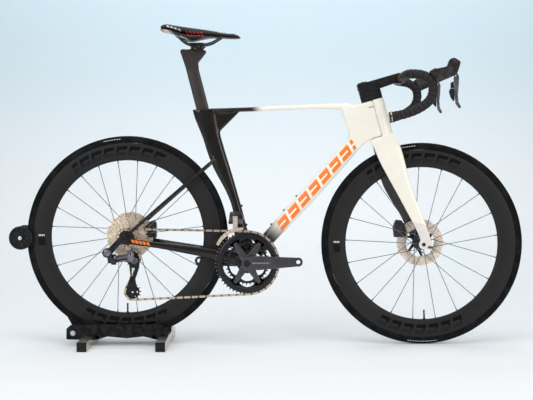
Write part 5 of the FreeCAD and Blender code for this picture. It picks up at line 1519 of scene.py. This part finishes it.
# ---- Front derailleur ----
# A small motor housing bolted to the seat tube moves a steel cage across the two rings.
# The housing is glossy and dark, with two small bolts, and the cage is plain bright steel.

motor_gloss = Finish("motor_gloss", (0.012, 0.010, 0.012), 0.22, metal=0.4, coat=0.4, shine=0.3)
motor_gloss.mottled((0.15, 0.135, 0.165), 46, 0.07).grained(900, 0.04 * MM, 0.25)
fd_low, fd_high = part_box("front_derailleur_body")
fd_middle = (fd_low + fd_high) / 2
housing = moulded("housing", ["front_derailleur_body"], 0.8 * MM, 8, [(tuple(fd_middle), 0.06, 14)])
fix(as_piece("derailleur_motor", housing, motor_gloss, 60), "bike_frame", "dark_alloy", "front_derailleur_body")
fd_bolts = [facing((fd_middle.x + dx * MM, fd_low.y + 0.6 * MM, fd_middle.z + dz * MM), (0, -1, 0)) for dx,
            dz in ((-12, -8), (10, 10))]
fix(set_out("motor_bolts", button_head(3.2 * MM, 1.6 * MM), fd_bolts, black_alloy), "bike_frame", "bare_steel")
carried("front_derailleur_cage", sprocket_steel)

# ---- Rear derailleur ----
# Graphite alloy knuckles joined by two links carry a black cage with two toothed pulleys.
# A glossy cap closes the upper knuckle, and two zinc-plated bolts carry the pulleys.

knuckle_gloss = Finish("knuckle_gloss", (0.085, 0.077, 0.093), 0.18, metal=0.55, coat=0.7)
knuckle_gloss.mottled((0.21, 0.19, 0.235), 32, 0.06).grained(800, 0.04 * MM, 0.25)
knuckle_black = Finish("knuckle_black", (0.010, 0.009, 0.010), 0.24, metal=0.4, coat=0.3, shine=0.3)
knuckle_black.mottled((0.030, 0.027, 0.031), 60, 0.07).grained(900, 0.04 * MM, 0.25)
for node, body in (("derailleur_b_knuckle", "bike_frame"), ("derailleur_p_knuckle", "derailleur_p_knuckle"),
                   ("derailleur_outer_link", "derailleur_outer_link"),
                   ("derailleur_inner_link", "derailleur_inner_link")):
    low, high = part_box(node)
    middle = tuple((low + high) / 2)
    casting = moulded("knuckle", [node], 0.8 * MM, 8, [(middle, 0.08, 6)])
    finish = knuckle_black if node == "derailleur_b_knuckle" else knuckle_gloss
    fix(as_piece(node.replace("derailleur", "shaped"), casting, finish, 60), body, "dark_alloy", node)
barrel = pivot["derailleur_shift"] + Vector((-23.3, 0, 17.3)) * MM
cap_line = in_mm([(0, -99.0), (8, -98.8), (11, -98.2), (12.5, -97.2), (12.5, -96.5), (0, -96.5)])
fix(as_piece("knuckle_cap", turned(cap_line, Vector((barrel.x, 0, barrel.z)), 40), knuckle_gloss, 40),
    "bike_frame", "dark_alloy")
cage_black = Finish("cage_black", (0.010, 0.010, 0.011), 0.30, metal=0.3, shine=0.25)
cage_black.mottled((0.024, 0.024, 0.026), 120, 0.08).grained(1500, 0.04 * MM, 0.3)
cage_shape = eased([(x * MM, z * MM) for x,
                    z in ((-430, 305), (-422, 288), (-424, 262), (-437, 224), (-432, 190), (-433, 170),
                    (-450, 161), (-466, 172), (-464, 200), (-452, 235), (-456, 270), (-462, 296), (-448, 311))],
                   9 * MM)
cage_window = eased([(x * MM, z * MM) for x, z in ((-437, 262), (-446, 230), (-449, 236), (-449, 262))], 3 * MM,
                    3)
side_plates = [cut_plate([cage_shape, cage_window, ring_of(tension, 6.5 * MM, 20)], low_y * MM,
                         (low_y + 1.6) * MM, 0.3 * MM)
               for low_y in (-58.9, -45.5)]
side_plates.append(turned(in_mm([(0, -59.6), (4.5, -59.6), (5.2, -58.8), (5.2, -57.2), (0, -57.2)]), guide, 24))
fix(as_piece("pulley_cage", joined(*side_plates), cage_black, 32), "derailleur_cage", "black_plastic",
    "derailleur_cage")
for name, centre, body in (("guide", guide, "guide_pulley"), ("tension", tension, "tension_pulley")):
    radius = pitch_radius(pulley_teeth)
    outline = toothed(centre, pulley_teeth, radius + 2.2 * MM, radius - 3.7 * MM, gap_phase(name, centre), 0.36)
    holes = [ring_of(centre, 3.0 * MM, 16)]
    for hole in range(6):
        turn = 2 * math.pi * hole / 6
        holes.append(ring_of(spoke_end(centre, turn, 14.5 * MM), 3.2 * MM, 12))
    wheel_shell = cut_plate([outline] + holes, cog_y - 1.1 * MM, cog_y + 1.1 * MM, 0.25 * MM)
    bearing = turned([(r, cog_y + d) for r,
                      d in in_mm([(2.9, -5), (8.4, -5), (9, -4.4), (9, 4.4), (8.4, 5), (2.9, 5)])], centre, 32)
    fix(as_piece(name + "_pulley_wheel", joined(wheel_shell, bearing), cage_black, 30), body, "black_plastic",
        name + "_pulley")
pins_at = [facing((centre.x, -59.2 * MM, centre.z), (0, -1, 0)) for centre in (guide, tension)]
fix(set_out("pulley_bolts", button_head(3.4 * MM, 1.2 * MM), pins_at, zinc), "derailleur_cage", "bare_steel")

# ---- Studio ----
# A pale paper sweep: a floor that curves up into a wall, faintly blue towards the top.
# Three large soft lights fall on the bicycle and one on the wall.

floor_finish = Finish("studio_paper", (0.93, 0.94, 0.95), 0.85)
_, _, z = floor_finish.axes()
sky = floor_finish.over(floor_finish.ramp(z, 0.05, 1.8), (0.95, 0.97, 0.985, 1), (0.68, 0.83, 0.905, 1))
grain = floor_finish.ramp(floor_finish.speckle(3), 0.3, 0.7)
floor_finish.set("Base Color", floor_finish.over(floor_finish.times(grain, 0.06), sky, (0.9, 0.9, 0.9, 1)))
sweep = bmesh.new()
profile = [(-7.0, 0.0), (3.4, 0.0)]
profile += [(3.4 + 1.3 * math.sin(a * math.pi / 24), 1.3 - 1.3 * math.cos(a * math.pi / 24)) for a in range(1, 13)]
profile.append((4.7, 6.0))
rows_of = [[sweep.verts.new((x, py, pz)) for x in (-7.0, 7.0)] for py, pz in profile]
for here, after in zip(rows_of, rows_of[1:]):
    sweep.faces.new((here[0], here[1], after[1], after[0]))
floor = as_piece("studio_floor", sweep, floor_finish, 80)


def softbox(name, place, aim, width, height, power, tint=(1, 1, 1)):
    lamp = bpy.data.lights.new(name, "AREA")
    lamp.shape = "RECTANGLE"
    lamp.size, lamp.size_y = width, height
    lamp.energy = power
    lamp.color = tint
    holder = bpy.data.objects.new(name, lamp)
    holder.location = place
    holder.rotation_euler = (Vector(aim) - Vector(place)).to_track_quat("-Z", "Y").to_euler()
    bpy.context.scene.collection.objects.link(holder)


softbox("overhead", (0.0, -0.6, 3.0), (0, 0, 0.4), 3.6, 2.4, 52)
softbox("front_left", (-2.2, -2.8, 1.8), (0, 0, 0.5), 1.8, 2.2, 42, (0.97, 0.98, 1.0))
softbox("front_right", (2.4, -2.6, 1.5), (0.2, 0, 0.5), 1.6, 2.2, 36, (1.0, 0.98, 0.95))
softbox("wall_wash", (0.0, 2.6, 4.0), (0, 4.7, 1.2), 6.5, 0.8, 95)
world = bpy.data.worlds.new("studio")
world.use_nodes = True
world.node_tree.nodes["Background"].inputs["Color"].default_value = (0.93, 0.96, 1.0, 1)
world.node_tree.nodes["Background"].inputs["Strength"].default_value = 0.25
bpy.context.scene.world = world
bpy.context.scene.view_settings.view_transform = "Standard"

lens = bpy.data.cameras.new("camera")
lens.lens = 69.86
lens.sensor_width = 36
lens.shift_x = -0.0347
lens.shift_y = -0.0844
camera = bpy.data.objects.new("camera", lens)
camera.location = (0.0625, -3.5, 0.6376)
camera.rotation_euler = (math.pi / 2, 0, 0)
bpy.context.scene.collection.objects.link(camera)
bpy.context.scene.camera = camera
